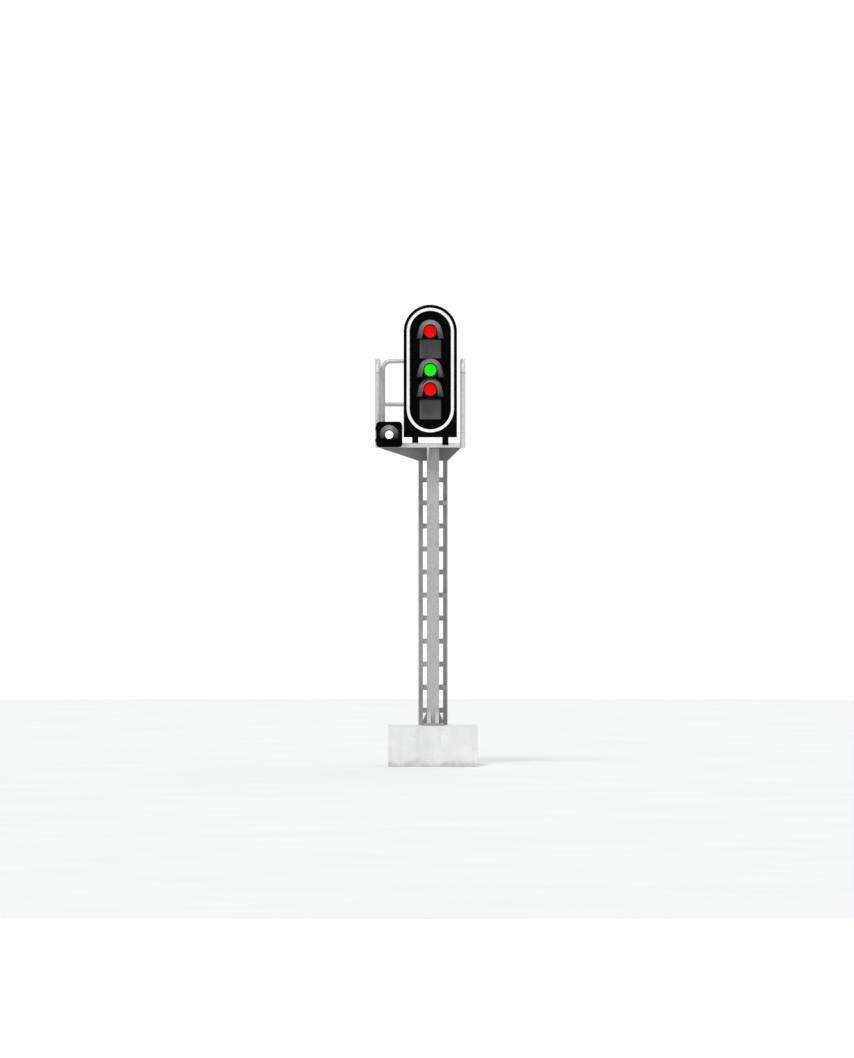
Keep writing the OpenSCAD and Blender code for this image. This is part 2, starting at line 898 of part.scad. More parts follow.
// Points of an arch: one leg end, round the top, and the other leg end
function arch(r, splay, foot, y, steps) =
    let (leg_x = r * cos(splay) + (foot + r * sin(splay)) * tan(splay))
    concat(
        [[-leg_x, y, -foot]],
        [
            for (i = [0:steps])
                let (a = 180 - splay - i * (180 - 2 * splay) / steps)
                [r * cos(a), y, r * sin(a)]
        ],
        [[leg_x, y, -foot]]
    );

// A tapering hood with a flange at its rear, swept as one closed skin.
// Each entry of rings is [radius, splay, y], starting at the inside corner of the flange.
module hood(rings, foot) {
    steps = 40;
    n = steps + 3;
    k = len(rings);
    points = [for (ring = rings) each arch(ring[0], ring[1], foot, ring[2], steps)];
    sides = [for (j = [0:k - 1], i = [0:n - 2]) let (a = j * n + i, b = ((j + 1) % k) * n + i)
        each [[a, b, b + 1], [a, b + 1, a + 1]]];
    start_cap = [for (j = [1:k - 2]) [0, (j + 1) * n, j * n]];
    end_cap = [for (j = [1:k - 2]) [n - 1, j * n + n - 1, (j + 1) * n + n - 1]];
    polyhedron(points, concat(sides, start_cap, end_cap));
}

// A hood from its flange on the plane at rear to its open tip
module flanged_hood(rear, length, flange_w, foot, r, splay, tip_r, tip_splay) {
    hood([
        [r - hood_wall, splay, rear - hood_wall],
        [r - flange_w, splay, rear - hood_wall],
        [r - flange_w, splay, rear],
        [r, splay, rear],
        [tip_r + hood_wall, tip_splay, rear - length],
        [tip_r, tip_splay, rear - length]
    ], foot);
}

module lamp_hood(index) {
    color(HOOD_GREY) translate([panel_x, 0, lamp_z[index]])
        flanged_hood(panel_front, hood_len, 18, hood_foot, 150, 14, 88, 9);
}

module hood_upper() {
    lamp_hood(0);
}

module hood_middle() {
    lamp_hood(1);
}

module hood_lower() {
    lamp_hood(2);
}

// ---- Lamps ----

// A disc of glass whose front is a shallow dome
module dome_lens(r, seat_r, rear, seat, rise) {
    sphere_r = (r * r + rise * rise) / (2 * rise);
    rod_y(seat_r, seat, rear);
    intersection() {
        rod_y(r, seat - rise - past, seat + past);
        translate([0, seat - rise + sphere_r, 0]) sphere(sphere_r, $fn = 360);
    }
}

module signal_lens(index) {
    seat_r = sleeve_r - sleeve_wall - fit;
    translate([panel_x, 0, lamp_z[index]])
        dome_lens(lens_d / 2 - fit, seat_r, panel_front + lens_seat, panel_front, dome_h);
}

module lens_upper() {
    color("red") signal_lens(0);
}

module lens_middle() {
    color("lime") signal_lens(1);
}

module lens_lower() {
    color("red") signal_lens(2);
}

module lens_bezels() {
    color(BLACK) at_lamps() difference() {
        union() {
            rod_y(lens_d / 2 + bezel_w, panel_front - bezel_t, panel_front);
            rod_y(sleeve_r, panel_front - past, panel_front + sleeve_len);
        }
        rod_y(lens_d / 2, panel_front - bezel_t - past, panel_front + past);
        rod_y(sleeve_r - sleeve_wall, panel_front, panel_front + sleeve_len + past);
    }
}

// Covers over the two unused lamp openings, the lower one with a thin strip along its top
module blanking_plates() {
    half = blank_w / 2;
    strip_z = blank_z[1][1];
    color(BLANK_GREY) {
        for (z = blank_z) plate_xz(panel_front - blank_t, panel_front) translate([panel_x, z[0]])
            round_rect(blank_w, z[1] - z[0], blank_corner);
        span(
            [panel_x - half, panel_front - strip_t, strip_z - past],
            [panel_x + half, panel_front, strip_z + strip_h]
        );
    }
}

module lamp_housings() {
    front = case_front + case_wall + fit;
    color("#8d9196") at_lamps() difference() {
        rod_y(housing_r, front, front + housing_len);
        rod_y(sleeve_r + fit, front - past, front + housing_len - sleeve_wall);
        rod_y(holder_r, front, front + housing_len + past);
    }
}

module lamp_holders() {
    color("#e8e2d4") at_lamps() difference() {
        rod_y(holder_r - fit, holder_rear - holder_len, holder_rear);
        rod_y(bulb_cap_r, holder_rear - holder_len - past, holder_rear - bulb_cap_depth);
    }
}

module lamp_bulbs() {
    front = holder_rear - holder_len;
    color("#f5f0dc") at_lamps() {
        rod_y(bulb_cap_r - fit, front - 7, holder_rear - bulb_cap_depth);
        translate([0, front - bulb_r - 2, 0]) sphere(bulb_r);
    }
}

module terminal_block() {
    way_w = terminal_pitch - 4;
    color("#c9c2ae") {
        span(
            [panel_x - terminal_w / 2, case_front + case_wall, terminal_z - 20],
            [panel_x + terminal_w / 2, terminal_y - 14, terminal_z + 20]
        );
        for (i = [0:7]) translate([panel_x + (i - 4) * terminal_pitch + 2, terminal_y, terminal_z])
            span([0, -15, -15], [way_w, 0, 15]);
    }
}

// Laminated cores, each with a winding that stands out of its rear face
module transformers() {
    core = [70, 50, 90];
    winding = [48, 17, 50];
    color("#5b5f58") for (i = [-1, 0, 1])
        translate([panel_x + i * 110 - core[0] / 2, case_front + case_wall, terminal_z + 140]) {
        cube(core);
        translate([(core[0] - winding[0]) / 2, core[1] - past, (core[2] - winding[2]) / 2]) cube(winding);
    }
}

// A run of cable through square turns
module cable_run(route, r) {
    for (i = [0:len(route) - 2]) {
        step = route[i + 1] - route[i];
        low = [for (k = [0:2]) min(route[i][k], route[i + 1][k])];
        turn = step[0] != 0 ? [0, 90, 0] : step[1] != 0 ? [-90, 0, 0] : [0, 0, 0];
        translate(low) rotate(turn) cylinder(r = r, h = norm(step));
    }
    for (i = [1:len(route) - 2]) translate(route[i]) sphere(r);
}

module wiring_loom() {
    block_x = panel_x - 40;
    riser = [loom_x, loom_y, lamp_z[0]];
    color("#3b3b3b") {
        cable_run([
            [panel_x, gland_y, case_z + 5],
            [panel_x, gland_y, terminal_z],
            [panel_x, terminal_y, terminal_z]
        ], loom_r);
        cable_run([
            [block_x, terminal_y, terminal_z],
            [block_x, loom_y, terminal_z],
            [loom_x, loom_y, terminal_z],
            riser,
            [panel_x, loom_y, lamp_z[0]],
            [panel_x, holder_rear, lamp_z[0]]
        ], loom_r);
        for (i = [1, 2]) cable_run([
            [loom_x, loom_y, lamp_z[i]],
            [panel_x, loom_y, lamp_z[i]],
            [panel_x, holder_rear, lamp_z[i]]
        ], loom_r - 0.5);
    }
}

// A body screwed through the casing's floor, with a lock nut inside and a cap below
module cable_gland() {
    color("#2f3336") translate([panel_x, gland_y, case_z]) difference() {
        union() {
            translate([0, 0, -12]) linear_extrude(12) hexagon(36);
            translate([0, 0, -28]) cylinder(r = gland_bore_r + 6, h = 17);
            translate([0, 0, -past]) cylinder(r = gland_r, h = case_wall + 10);
            translate([0, 0, case_wall]) linear_extrude(8) hexagon(38);
        }
        translate([0, 0, -29]) cylinder(r = gland_bore_r, h = 48);
    }
}

// ---- Marker box ----

module marker_outline(inset) {
    translate([marker_x, marker_z + inset])
        round_rect(marker_w - 2 * inset, marker_h - 2 * inset, marker_corner - inset);
}

module at_swivel(z) {
    translate([marker_x, swivel_y, z]) children();
}

// A plate on the platform's front edge with two lugs for the swivel's pin
module marker_bracket() {
    plate_front = deck_front - marker_plate_t;
    half = marker_plate_w / 2;
    lug_z = [swivel_z - swivel_h / 2 - lug_h, swivel_z + swivel_h / 2];
    plate_top_z = lug_z[1] + lug_h + 10;
    color(BLACK) difference() {
        union() {
            span([marker_x - half, plate_front, deck_z + 5], [marker_x + half, deck_front, plate_top_z]);
            for (z = lug_z) at_swivel(z) {
                span([-swivel_r, 0, 0], [swivel_r, plate_front + past - swivel_y, lug_h]);
                cylinder(r = swivel_r, h = lug_h);
            }
        }
        at_swivel(deck_z) cylinder(r = swivel_pin_r + run, h = marker_h + 40);
        at_marker_bolts() rod_y(bolt_r + fit, plate_front - past, deck_front + past);
    }
}

module marker_swivel_pin() {
    low = swivel_z - swivel_h / 2 - lug_h - 5;
    top = swivel_z + swivel_h / 2 + lug_h;
    color(ZINC) at_swivel(0) {
        translate([0, 0, low]) cylinder(r = swivel_pin_r, h = top - low + past);
        translate([0, 0, top]) linear_extrude(7) hexagon(19);
    }
}

module marker_casing() {
    half = swivel_h / 2 - knuckle_gap;
    leaf = [marker_x - marker_w / 2 - marker_leaf_t, marker_x - marker_w / 2];
    color(BLACK) {
        difference() {
            plate_xz(marker_front + marker_wall, marker_rear) marker_outline(0);
            plate_xz(marker_front, marker_rear - marker_wall) marker_outline(marker_wall);
        }
        difference() {
            union() {
                span(
                    [marker_x - 40, marker_rear - past, swivel_z - half - 10],
                    [marker_x + 40, marker_rear + 5, swivel_z + half + 10]
                );
                span(
                    [marker_x - swivel_pin_r, marker_rear, swivel_z - half],
                    [marker_x + swivel_pin_r, swivel_y, swivel_z + half]
                );
                at_swivel(swivel_z - half) cylinder(r = swivel_r, h = 2 * half);
            }
            at_swivel(swivel_z - half - past) cylinder(r = swivel_pin_r + run, h = 2 * half + 2 * past);
        }
        for (z = marker_hinge_z) mirror_y(marker_hinge_y) fixed_knuckles(
            z, marker_hinge_x, marker_hinge_y, marker_hinge_r, marker_pin_r,
            leaf, marker_hinge_y - 25, marker_knuckle_h / 2
        );
        translate([marker_x, marker_rear - marker_wall + past, marker_lens_z])
            rod_y(marker_socket_r, -marker_socket_l - past, 0);
    }
}

// The flat frame inside the door that holds the latch's tongue
module marker_rim() {
    color(BLACK) plate_xz(marker_front, marker_front + marker_wall) difference() {
        marker_outline(0);
        marker_outline(marker_wall + marker_lip);
    }
}

// Reflection front to back in the plane at y
module mirror_y(y) {
    translate([0, y, 0]) mirror([0, 1, 0]) translate([0, -y, 0]) children();
}

module marker_door() {
    half = marker_knuckle_h / 2;
    rear = marker_face + marker_door_d;
    leaf = [marker_x - marker_w / 2 - marker_leaf_t, marker_x - marker_w / 2];
    lens_r = marker_lens_d / 2 + 2;
    color(BLACK) {
        difference() {
            union() {
                difference() {
                    plate_xz(marker_face, rear) marker_outline(0);
                    plate_xz(marker_face + marker_wall, rear + past) marker_outline(marker_wall);
                }
                translate([marker_x, 0, marker_lens_z])
                    rod_y(lens_r + 5, marker_face + past, marker_face + 14);
            }
            translate([marker_x, 0, marker_lens_z]) {
                rod_y(marker_lens_d / 2, marker_face - past, marker_face + 2);
                rod_y(lens_r, marker_face + 1.5, marker_face + 15);
            }
            translate([marker_latch_x, 0, marker_latch_z])
                rod_y(latch_shaft_r + run, marker_face - past, marker_face + 2 * marker_wall);
        }
        for (z = marker_hinge_z) knuckle(
            marker_hinge_x, marker_hinge_y, marker_hinge_r, marker_pin_r,
            leaf, marker_face, rear, z - half, z + half
        );
    }
}

module marker_hood() {
    color(HOOD_GREY) translate([marker_x, 0, marker_lens_z])
        flanged_hood(marker_face, marker_hood_len, 14, marker_hood_foot, 123, 0, 63, 0);
}

module marker_lens() {
    r = marker_lens_d / 2;
    color("white") translate([marker_x, 0, marker_lens_z])
        dome_lens(r - fit, r + 2 - fit, marker_face + lens_seat, marker_face + 1.5, dome_h);
}

module marker_hinge_pins() {
    reach = 2.6 * marker_knuckle_h / 2 + 2;
    color(ZINC) for (z = marker_hinge_z) translate([marker_hinge_x, marker_hinge_y, z - reach])
        cylinder(r = marker_pin_r, h = 2 * reach);
}

module marker_latch() {
    shaft = marker_front + 2 * marker_wall + 1 - marker_face;
    color(BLACK) translate([marker_latch_x, marker_face, marker_latch_z]) mirror([0, 1, 0])
        latch(34, 12, shaft);
}

foundation_block();
cable_duct();
anchor_bolts();
anchor_nuts();
base_plate();
base_gussets();
base_wedges();
mast_beam();
mast_cap();
platform_bracket();
platform_rib();
deck_frame();
deck_joists();
deck_grating();
guard_rail_left();
guard_rail_right();
guard_rail_rear();
platform_bolts();
ladder_stiles();
ladder_rungs();
ladder_brackets();
ladder_cleats();
ladder_bolts();
target_panel();
target_border();
upright_left();
upright_right();
upright_bolts();
casing_back();
head_casing();
casing_rim();
casing_door();
door_seal();
door_hinge_pins();
door_handle_upper();
door_handle_lower();
hood_upper();
hood_middle();
hood_lower();
lens_upper();
lens_middle();
lens_lower();
lens_bezels();
blanking_plates();
lamp_housings();
lamp_holders();
lamp_bulbs();
terminal_block();
transformers();
wiring_loom();
cable_gland();
marker_bracket();
marker_swivel_pin();
marker_casing();
marker_rim();
marker_door();
marker_hood();
marker_lens();
marker_hinge_pins();
marker_latch();
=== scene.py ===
"""Finished looks for the railway colour-light signal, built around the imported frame."""

import math

import bmesh
import bpy
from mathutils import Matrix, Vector


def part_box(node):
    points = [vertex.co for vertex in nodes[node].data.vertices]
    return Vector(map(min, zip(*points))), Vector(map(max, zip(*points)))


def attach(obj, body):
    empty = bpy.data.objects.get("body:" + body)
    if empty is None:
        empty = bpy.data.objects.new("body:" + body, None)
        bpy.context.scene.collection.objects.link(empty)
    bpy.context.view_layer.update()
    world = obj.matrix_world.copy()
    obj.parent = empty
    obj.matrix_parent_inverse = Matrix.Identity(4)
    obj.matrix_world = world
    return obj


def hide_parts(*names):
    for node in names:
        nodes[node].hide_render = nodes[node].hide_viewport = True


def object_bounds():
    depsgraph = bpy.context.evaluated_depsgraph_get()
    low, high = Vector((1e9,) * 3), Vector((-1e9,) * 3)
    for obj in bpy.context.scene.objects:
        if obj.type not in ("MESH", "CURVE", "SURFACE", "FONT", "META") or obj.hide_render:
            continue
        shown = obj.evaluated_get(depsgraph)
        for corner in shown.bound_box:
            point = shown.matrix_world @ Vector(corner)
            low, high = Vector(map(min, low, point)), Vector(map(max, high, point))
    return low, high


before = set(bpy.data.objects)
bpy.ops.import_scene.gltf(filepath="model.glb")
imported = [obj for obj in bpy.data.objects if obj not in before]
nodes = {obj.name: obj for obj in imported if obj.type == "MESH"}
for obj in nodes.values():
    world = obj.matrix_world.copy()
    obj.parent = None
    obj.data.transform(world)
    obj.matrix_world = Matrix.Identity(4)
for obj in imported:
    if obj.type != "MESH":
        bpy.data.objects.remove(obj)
cad_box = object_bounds()
scene = bpy.context.scene

# ---- Camera, light and floor ----

LENS = 300.0
SENSOR = 36.0
PICTURE_HEIGHT = 13.68  # metres from the top to the bottom of the picture, at the panel
CENTRE_RIGHT = 0.008    # the picture's centre, measured from the middle of the object's box
CENTRE_UP = 0.085
FLOOR_RADIUS = 45.0


def grey(value):
    return (value, value, value, 1.0)


def make_camera():
    low, high = cad_box
    data = bpy.data.cameras.new("camera")
    data.lens = LENS
    data.sensor_width = SENSOR
    data.clip_end = 1000.0
    camera = bpy.data.objects.new("camera", data)
    camera.location = (
        (low.x + high.x) / 2 + CENTRE_RIGHT,
        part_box("target_panel")[0].y - PICTURE_HEIGHT * LENS / SENSOR,
        (low.z + high.z) / 2 + CENTRE_UP,
    )
    camera.rotation_euler = (math.radians(90), 0, 0)
    scene.collection.objects.link(camera)
    scene.camera = camera


def make_sun(name, azimuth, elevation, strength, spread):
    """A soft key or fill from far away. Azimuth 0 stands in front of the object, and 90 at its right."""
    data = bpy.data.lights.new(name, "SUN")
    data.energy = strength
    data.angle = math.radians(spread)
    lamp = bpy.data.objects.new(name, data)
    a, e = math.radians(azimuth), math.radians(elevation)
    towards = Vector((math.sin(a) * math.cos(e), -math.cos(a) * math.cos(e), math.sin(e)))
    lamp.rotation_mode = "QUATERNION"
    lamp.rotation_quaternion = towards.to_track_quat("Z", "Y")
    scene.collection.objects.link(lamp)


def make_world():
    """White studio surroundings, whose light on the object is softer than their own white."""
    world = bpy.data.worlds.new("studio")
    scene.world = world
    world.use_nodes = True
    tree = world.node_tree
    tree.nodes.clear()
    output = tree.nodes.new("ShaderNodeOutputWorld")
    mix = tree.nodes.new("ShaderNodeMixShader")
    path = tree.nodes.new("ShaderNodeLightPath")
    shown = tree.nodes.new("ShaderNodeBackground")
    shown.inputs["Color"].default_value = grey(1.0)
    shown.inputs["Strength"].default_value = 1.05
    light = tree.nodes.new("ShaderNodeBackground")
    light.inputs["Color"].default_value = (0.97, 0.985, 1.0, 1.0)
    light.inputs["Strength"].default_value = 0.39
    tree.links.new(path.outputs["Is Camera Ray"], mix.inputs[0])
    tree.links.new(light.outputs[0], mix.inputs[1])
    tree.links.new(shown.outputs[0], mix.inputs[2])
    tree.links.new(mix.outputs[0], output.inputs["Surface"])


make_camera()
make_world()
make_sun("key", -18, 52, 1.6, 22)
make_sun("side", 75, 30, 0.40, 40)
make_sun("back", 165, 40, 0.77, 40)
scene.view_settings.view_transform = "Standard"

# ---- Materials ----


class Look:
    """A material made of shader nodes, in the object's own coordinates."""

    def __init__(self, name):
        self.material = bpy.data.materials.new("look_" + name)
        self.material.use_nodes = True
        self.tree = self.material.node_tree
        self.tree.nodes.clear()
        self.shader = self.add("ShaderNodeBsdfPrincipled", {})
        self.add("ShaderNodeOutputMaterial", {"Surface": self.shader.outputs["BSDF"]})
        self.place = self.add("ShaderNodeTexCoord", {}).outputs["Object"]

    def add(self, kind, inputs, **settings):
        node = self.tree.nodes.new(kind)
        for key, value in settings.items():
            setattr(node, key, value)
        for key, value in inputs.items():
            if isinstance(value, bpy.types.NodeSocket):
                self.tree.links.new(value, node.inputs[key])
            else:
                node.inputs[key].default_value = value
        return node

    def seen(self):
        """1 where the surface is looked at, 0 where it only lights other surfaces."""
        return self.add("ShaderNodeLightPath", {}).outputs["Is Camera Ray"]

    def scaled(self, x, y, z):
        factors = {0: self.place, 1: (x, y, z)}
        return self.add("ShaderNodeVectorMath", factors, operation="MULTIPLY").outputs[0]

    def noise(self, scale, detail=3.0, rough=0.5, place=None, twist=0.0):
        return self.add("ShaderNodeTexNoise", {
            "Vector": place or self.place,
            "Scale": scale,
            "Detail": detail,
            "Roughness": rough,
            "Distortion": twist,
        }).outputs[0]

    def cells(self, scale, place=None, feature="F1"):
        inputs = {"Vector": place or self.place, "Scale": scale}
        return self.add("ShaderNodeTexVoronoi", inputs, feature=feature)

    def cell_value(self, cells):
        return self.add("ShaderNodeSeparateColor", {0: cells.outputs["Color"]}).outputs[0]

    def math(self, operation, a, b=0.0):
        return self.add("ShaderNodeMath", {0: a, 1: b}, operation=operation).outputs[0]

    def span(self, value, low, high, to_low=0.0, to_high=1.0):
        """value between low and high, mapped to to_low and to_high."""
        inputs = {0: value, 1: low, 2: high, 3: to_low, 4: to_high}
        return self.add("ShaderNodeMapRange", inputs).outputs[0]

    def blend(self, below, above, amount):
        inputs = {0: amount, 6: below, 7: above}
        return self.add("ShaderNodeMix", inputs, data_type="RGBA").outputs[2]

    def normal_axis(self, axis):
        normal = self.add("ShaderNodeNewGeometry", {}).outputs["Normal"]
        return self.add("ShaderNodeSeparateXYZ", {0: normal}).outputs[axis]

    def height(self):
        return self.add("ShaderNodeSeparateXYZ", {0: self.place}).outputs[2]

    def attribute(self, name):
        node = self.add("ShaderNodeAttribute", {}, attribute_name=name, attribute_type="GEOMETRY")
        return node.outputs["Fac"]

    def bump(self, height, distance, strength=1.0, under=None):
        inputs = {"Height": height, "Distance": distance, "Strength": strength}
        if under is not None:
            inputs["Normal"] = under
        return self.add("ShaderNodeBump", inputs).outputs[0]

    def set(self, **values):
        """Sets the shader's sockets: base_color=... sets Base Color."""
        for key, value in values.items():
            name = "Specular IOR Level" if key == "specular" else key.replace("_", " ").title()
            if isinstance(value, bpy.types.NodeSocket):
                self.tree.links.new(value, self.shader.inputs[name])
            else:
                self.shader.inputs[name].default_value = value
        return self.material


def shade(value, factor):
    return grey(value * factor)


def dim(colour, factor):
    return tuple(factor * c for c in colour[:3]) + (1.0,)


def concrete():
    """Cast concrete: cloudy cement, sand grain, air pores, rain streaks and damp at the ground."""
    look = Look("concrete")
    tone = 0.84
    clouds = look.noise(2.4, 7.0, 0.62, twist=0.4)
    sand = look.noise(310.0, 2.0)
    colour = look.blend(shade(tone, 0.90), shade(tone, 1.05), look.span(clouds, 0.32, 0.68))
    colour = look.blend(colour, shade(tone, 0.80), look.span(sand, 0.60, 0.80, 0.0, 0.5))
    streaks = look.noise(1.0, 5.0, 0.6, look.scaled(16.0, 16.0, 0.9))
    upright = look.span(look.normal_axis(2), 0.2, 0.6, 1.0, 0.0)
    streaks = look.math("MULTIPLY", look.span(streaks, 0.52, 0.75), upright)
    colour = look.blend(colour, (0.58, 0.56, 0.52, 1.0), look.math("MULTIPLY", streaks, 0.34))
    damp_edge = look.math("ADD", look.height(), look.span(look.noise(6.0, 5.0), 0.3, 0.7, -0.05, 0.05))
    damp = look.span(damp_edge, 0.01, 0.09, 0.55, 0.0)
    colour = look.blend(colour, (0.42, 0.40, 0.36, 1.0), damp)
    pores = look.cells(46.0)
    chosen = look.span(look.cell_value(pores), 0.55, 0.58)
    pits = look.math("MULTIPLY", look.span(pores.outputs["Distance"], 0.10, 0.20, 1.0, 0.0), chosen)
    colour = look.blend(colour, shade(tone, 0.42), look.math("MULTIPLY", pits, 0.8))
    relief = look.math("SUBTRACT", look.math("MULTIPLY", sand, 0.35), look.math("MULTIPLY", pits, 1.0))
    relief = look.math("ADD", relief, look.math("MULTIPLY", clouds, 0.6))
    return look.set(
        base_color=colour,
        roughness=look.span(clouds, 0.3, 0.7, 0.82, 0.95),
        specular=0.25,
        normal=look.bump(relief, 0.003, 0.7),
    )


def galvanised(name, tone, metal=0.30, grime=0.35, painted_shade_fade=None):
    """Weathered zinc coating: spangle crystals, dull bloom, rain streaks and a few pale spots.

    The last argument is (height, height, factor) of painted light and shade: the tone changes by the factor
    between those two heights."""
    look = Look(name)
    bent = look.add("ShaderNodeVectorMath", {
        0: look.place,
        1: look.add("ShaderNodeVectorMath", {
            0: look.add("ShaderNodeTexNoise", {"Vector": look.place, "Scale": 55.0}).outputs["Color"],
            1: (0.012, 0.012, 0.012),
        }, operation="MULTIPLY").outputs[0],
    }, operation="ADD").outputs[0]
    crystals = look.cell_value(look.cells(62.0, bent))
    colour = look.blend(shade(tone, 0.90), shade(tone, 1.12), crystals)
    bloom = look.noise(4.5, 6.0, 0.6, twist=0.5)
    colour = look.blend(colour, shade(tone, 1.05), look.span(bloom, 0.45, 0.70, 0.0, 0.7))
    streaks = look.noise(1.0, 5.0, 0.62, look.scaled(38.0, 38.0, 1.3))
    dark = look.math("MULTIPLY", look.span(streaks, 0.52, 0.78), grime)
    colour = look.blend(colour, (tone * 0.62, tone * 0.59, tone * 0.54, 1.0), dark)
    spots = look.cells(21.0)
    chosen = look.span(look.cell_value(spots), 0.80, 0.82)
    spot = look.math("MULTIPLY", look.span(spots.outputs["Distance"], 0.10, 0.24, 0.5, 0.0), chosen)
    colour = look.blend(colour, shade(min(tone, 0.7), 1.25), spot)
    # Painted light and shade: the tone changes with height
    if painted_shade_fade:
        faded = shade(tone, painted_shade_fade[2])
        colour = look.blend(colour, faded, look.span(look.height(), painted_shade_fade[0], painted_shade_fade[1], 0.0, 0.8))
    grain = look.noise(420.0, 3.0)
    relief = look.math("ADD", look.math("MULTIPLY", crystals, 0.25), grain)
    dull = look.math("MULTIPLY", dark, 0.3)
    return look.set(
        base_color=colour,
        metallic=metal,
        roughness=look.math("ADD", look.span(crystals, 0.0, 1.0, 0.46, 0.60), dull),
        specular=0.3,
        normal=look.bump(relief, 0.0004, 0.5),
    )


def painted(name, tone, gloss=0.5, specular=0.25, chips=0.6, rub=None, painted_shadow_band=None):
    """Paint on steel: orange peel, dust on top faces, streaks, and chips here and there.

    rub is the colour of worn top faces, and the last argument is (height, height) of a darker strip of
    painted shadow."""
    look = Look(name)
    patches = look.noise(3.2, 5.0, 0.6, twist=0.3)
    colour = look.blend(shade(tone, 0.88), shade(tone, 1.10), look.span(patches, 0.3, 0.7))
    streaks = look.noise(1.0, 5.0, 0.62, look.scaled(42.0, 42.0, 1.2))
    streak = look.span(streaks, 0.54, 0.80, 0.0, 0.45)
    colour = look.blend(colour, (tone * 0.62, tone * 0.60, tone * 0.57, 1.0), streak)
    up = look.span(look.normal_axis(2), 0.35, 0.95)
    dust = look.math("MULTIPLY", up, look.span(look.noise(14.0, 4.0), 0.3, 0.7, 0.25, 0.75))
    dusty = (tone * 1.25 + 0.02, tone * 1.22 + 0.018, tone * 1.15 + 0.014, 1.0)
    colour = look.blend(colour, rub or dusty, dust)
    flakes = look.cells(9.0)
    fray = look.span(look.noise(160.0, 4.0), 0.3, 0.7, -0.07, 0.07)
    ragged = look.math("ADD", flakes.outputs["Distance"], fray)
    chosen = look.span(look.cell_value(flakes), 0.78, 0.80)
    chip = look.math("MULTIPLY", look.span(ragged, 0.045, 0.055, 1.0, 0.0), chosen)
    chip = look.math("MULTIPLY", chip, chips)
    colour = look.blend(colour, (tone * 0.5 + 0.05, tone * 0.42 + 0.035, tone * 0.36 + 0.025, 1.0), chip)
    peel = look.noise(240.0, 2.0, 0.4)
    relief = look.math("SUBTRACT", peel, look.math("MULTIPLY", chip, 1.5))
    # A darker strip between two heights: painted shadow
    if painted_shadow_band:
        above = look.math("GREATER_THAN", look.height(), painted_shadow_band[0])
        below = look.math("LESS_THAN", look.height(), painted_shadow_band[1])
        colour = look.blend(colour, shade(tone, 0.09), look.math("MULTIPLY", above, below))
    rough = look.span(patches, 0.3, 0.7, gloss - 0.05, gloss + 0.08)
    return look.set(
        base_color=colour,
        roughness=look.math("ADD", rough, look.math("MULTIPLY", dust, 0.25)),
        specular=specular,
        normal=look.bump(relief, 0.0005, 0.45),
    )


def black_paint():
    """Matt black: faint mottling, orange peel, fine dust above, dried rain marks and rare scratches."""
    look = Look("panel_black")
    patches = look.noise(5.0, 6.0, 0.6, twist=0.4)
    colour = look.blend(grey(0.0008), grey(0.0024), look.span(patches, 0.3, 0.7))
    streaks = look.noise(1.0, 5.0, 0.6, look.scaled(30.0, 30.0, 1.4))
    colour = look.blend(colour, (0.0060, 0.0058, 0.0055, 1.0), look.span(streaks, 0.56, 0.82, 0.0, 0.7))
    up = look.span(look.normal_axis(2), 0.3, 0.95)
    dust = look.math("MULTIPLY", up, look.span(look.noise(18.0, 4.0), 0.3, 0.7, 0.2, 0.8))
    colour = look.blend(colour, (0.060, 0.057, 0.052, 1.0), dust)
    scratches = look.noise(1.0, 2.0, 0.5, look.scaled(24.0, 24.0, 260.0))
    scratch = look.math("MULTIPLY", look.span(scratches, 0.74, 0.78), look.span(patches, 0.52, 0.60))
    colour = look.blend(colour, grey(0.020), look.math("MULTIPLY", scratch, 0.6))
    peel = look.noise(230.0, 2.0, 0.4)
    relief = look.math("SUBTRACT", peel, look.math("MULTIPLY", scratch, 0.8))
    return look.set(
        base_color=colour,
        roughness=look.span(patches, 0.3, 0.7, 0.50, 0.64),
        specular=0.03,
        normal=look.bump(relief, 0.0005, 0.4),
    )


def hood_paint_and_shade(name, top, foot, power):
    """Grey hood paint with painted light and shade: lighter at the crown and darker towards the feet."""
    look = Look(name)
    # Lighter at the crown and darker towards the feet, by the share down from the crown: painted light and
    # shade
    painted_shade_drop = look.math("POWER", look.attribute("painted_shade_drop"), power)
    colour = look.blend(top, foot, painted_shade_drop)
    patches = look.noise(13.0, 5.0, 0.6, twist=0.3)
    colour = look.blend(colour, grey(0.02), look.span(patches, 0.45, 0.75, 0.0, 0.22))
    brush = look.noise(1.0, 4.0, 0.6, look.scaled(70.0, 5.0, 70.0))
    colour = look.blend(colour, grey(0.42), look.span(brush, 0.62, 0.85, 0.0, 0.16))
    inside = look.attribute("inside")
    colour = look.blend(colour, grey(0.004), inside)
    peel = look.noise(230.0, 2.0, 0.4)
    return look.set(
        base_color=colour,
        roughness=look.span(patches, 0.3, 0.7, 0.48, 0.62),
        specular=0.2,
        normal=look.bump(peel, 0.0005, 0.4),
    )


def reflective_band():
    """White prismatic sheeting: fine cells, faint dirt, a slight gloss, and a faint white glow that is
    painted light.
    """
    look = Look("border_white")
    prisms = look.cells(260.0, feature="DISTANCE_TO_EDGE")
    edge = look.span(prisms.outputs["Distance"], 0.0, 0.10, 1.0, 0.0)
    dirt = look.noise(9.0, 5.0, 0.6, twist=0.4)
    colour = look.blend(grey(0.97), (0.84, 0.84, 0.83, 1.0), look.span(dirt, 0.55, 0.80, 0.0, 0.5))
    colour = look.blend(colour, grey(0.78), look.math("MULTIPLY", edge, 0.35))
    return look.set(
        base_color=colour,
        roughness=look.span(dirt, 0.3, 0.7, 0.28, 0.45),
        specular=0.5,
        # A faint white glow on sheeting that is no lamp: painted light
        emission_color=grey(1.0),
        emission_strength=0.10,
        normal=look.bump(edge, 0.0002, 0.4),
    )


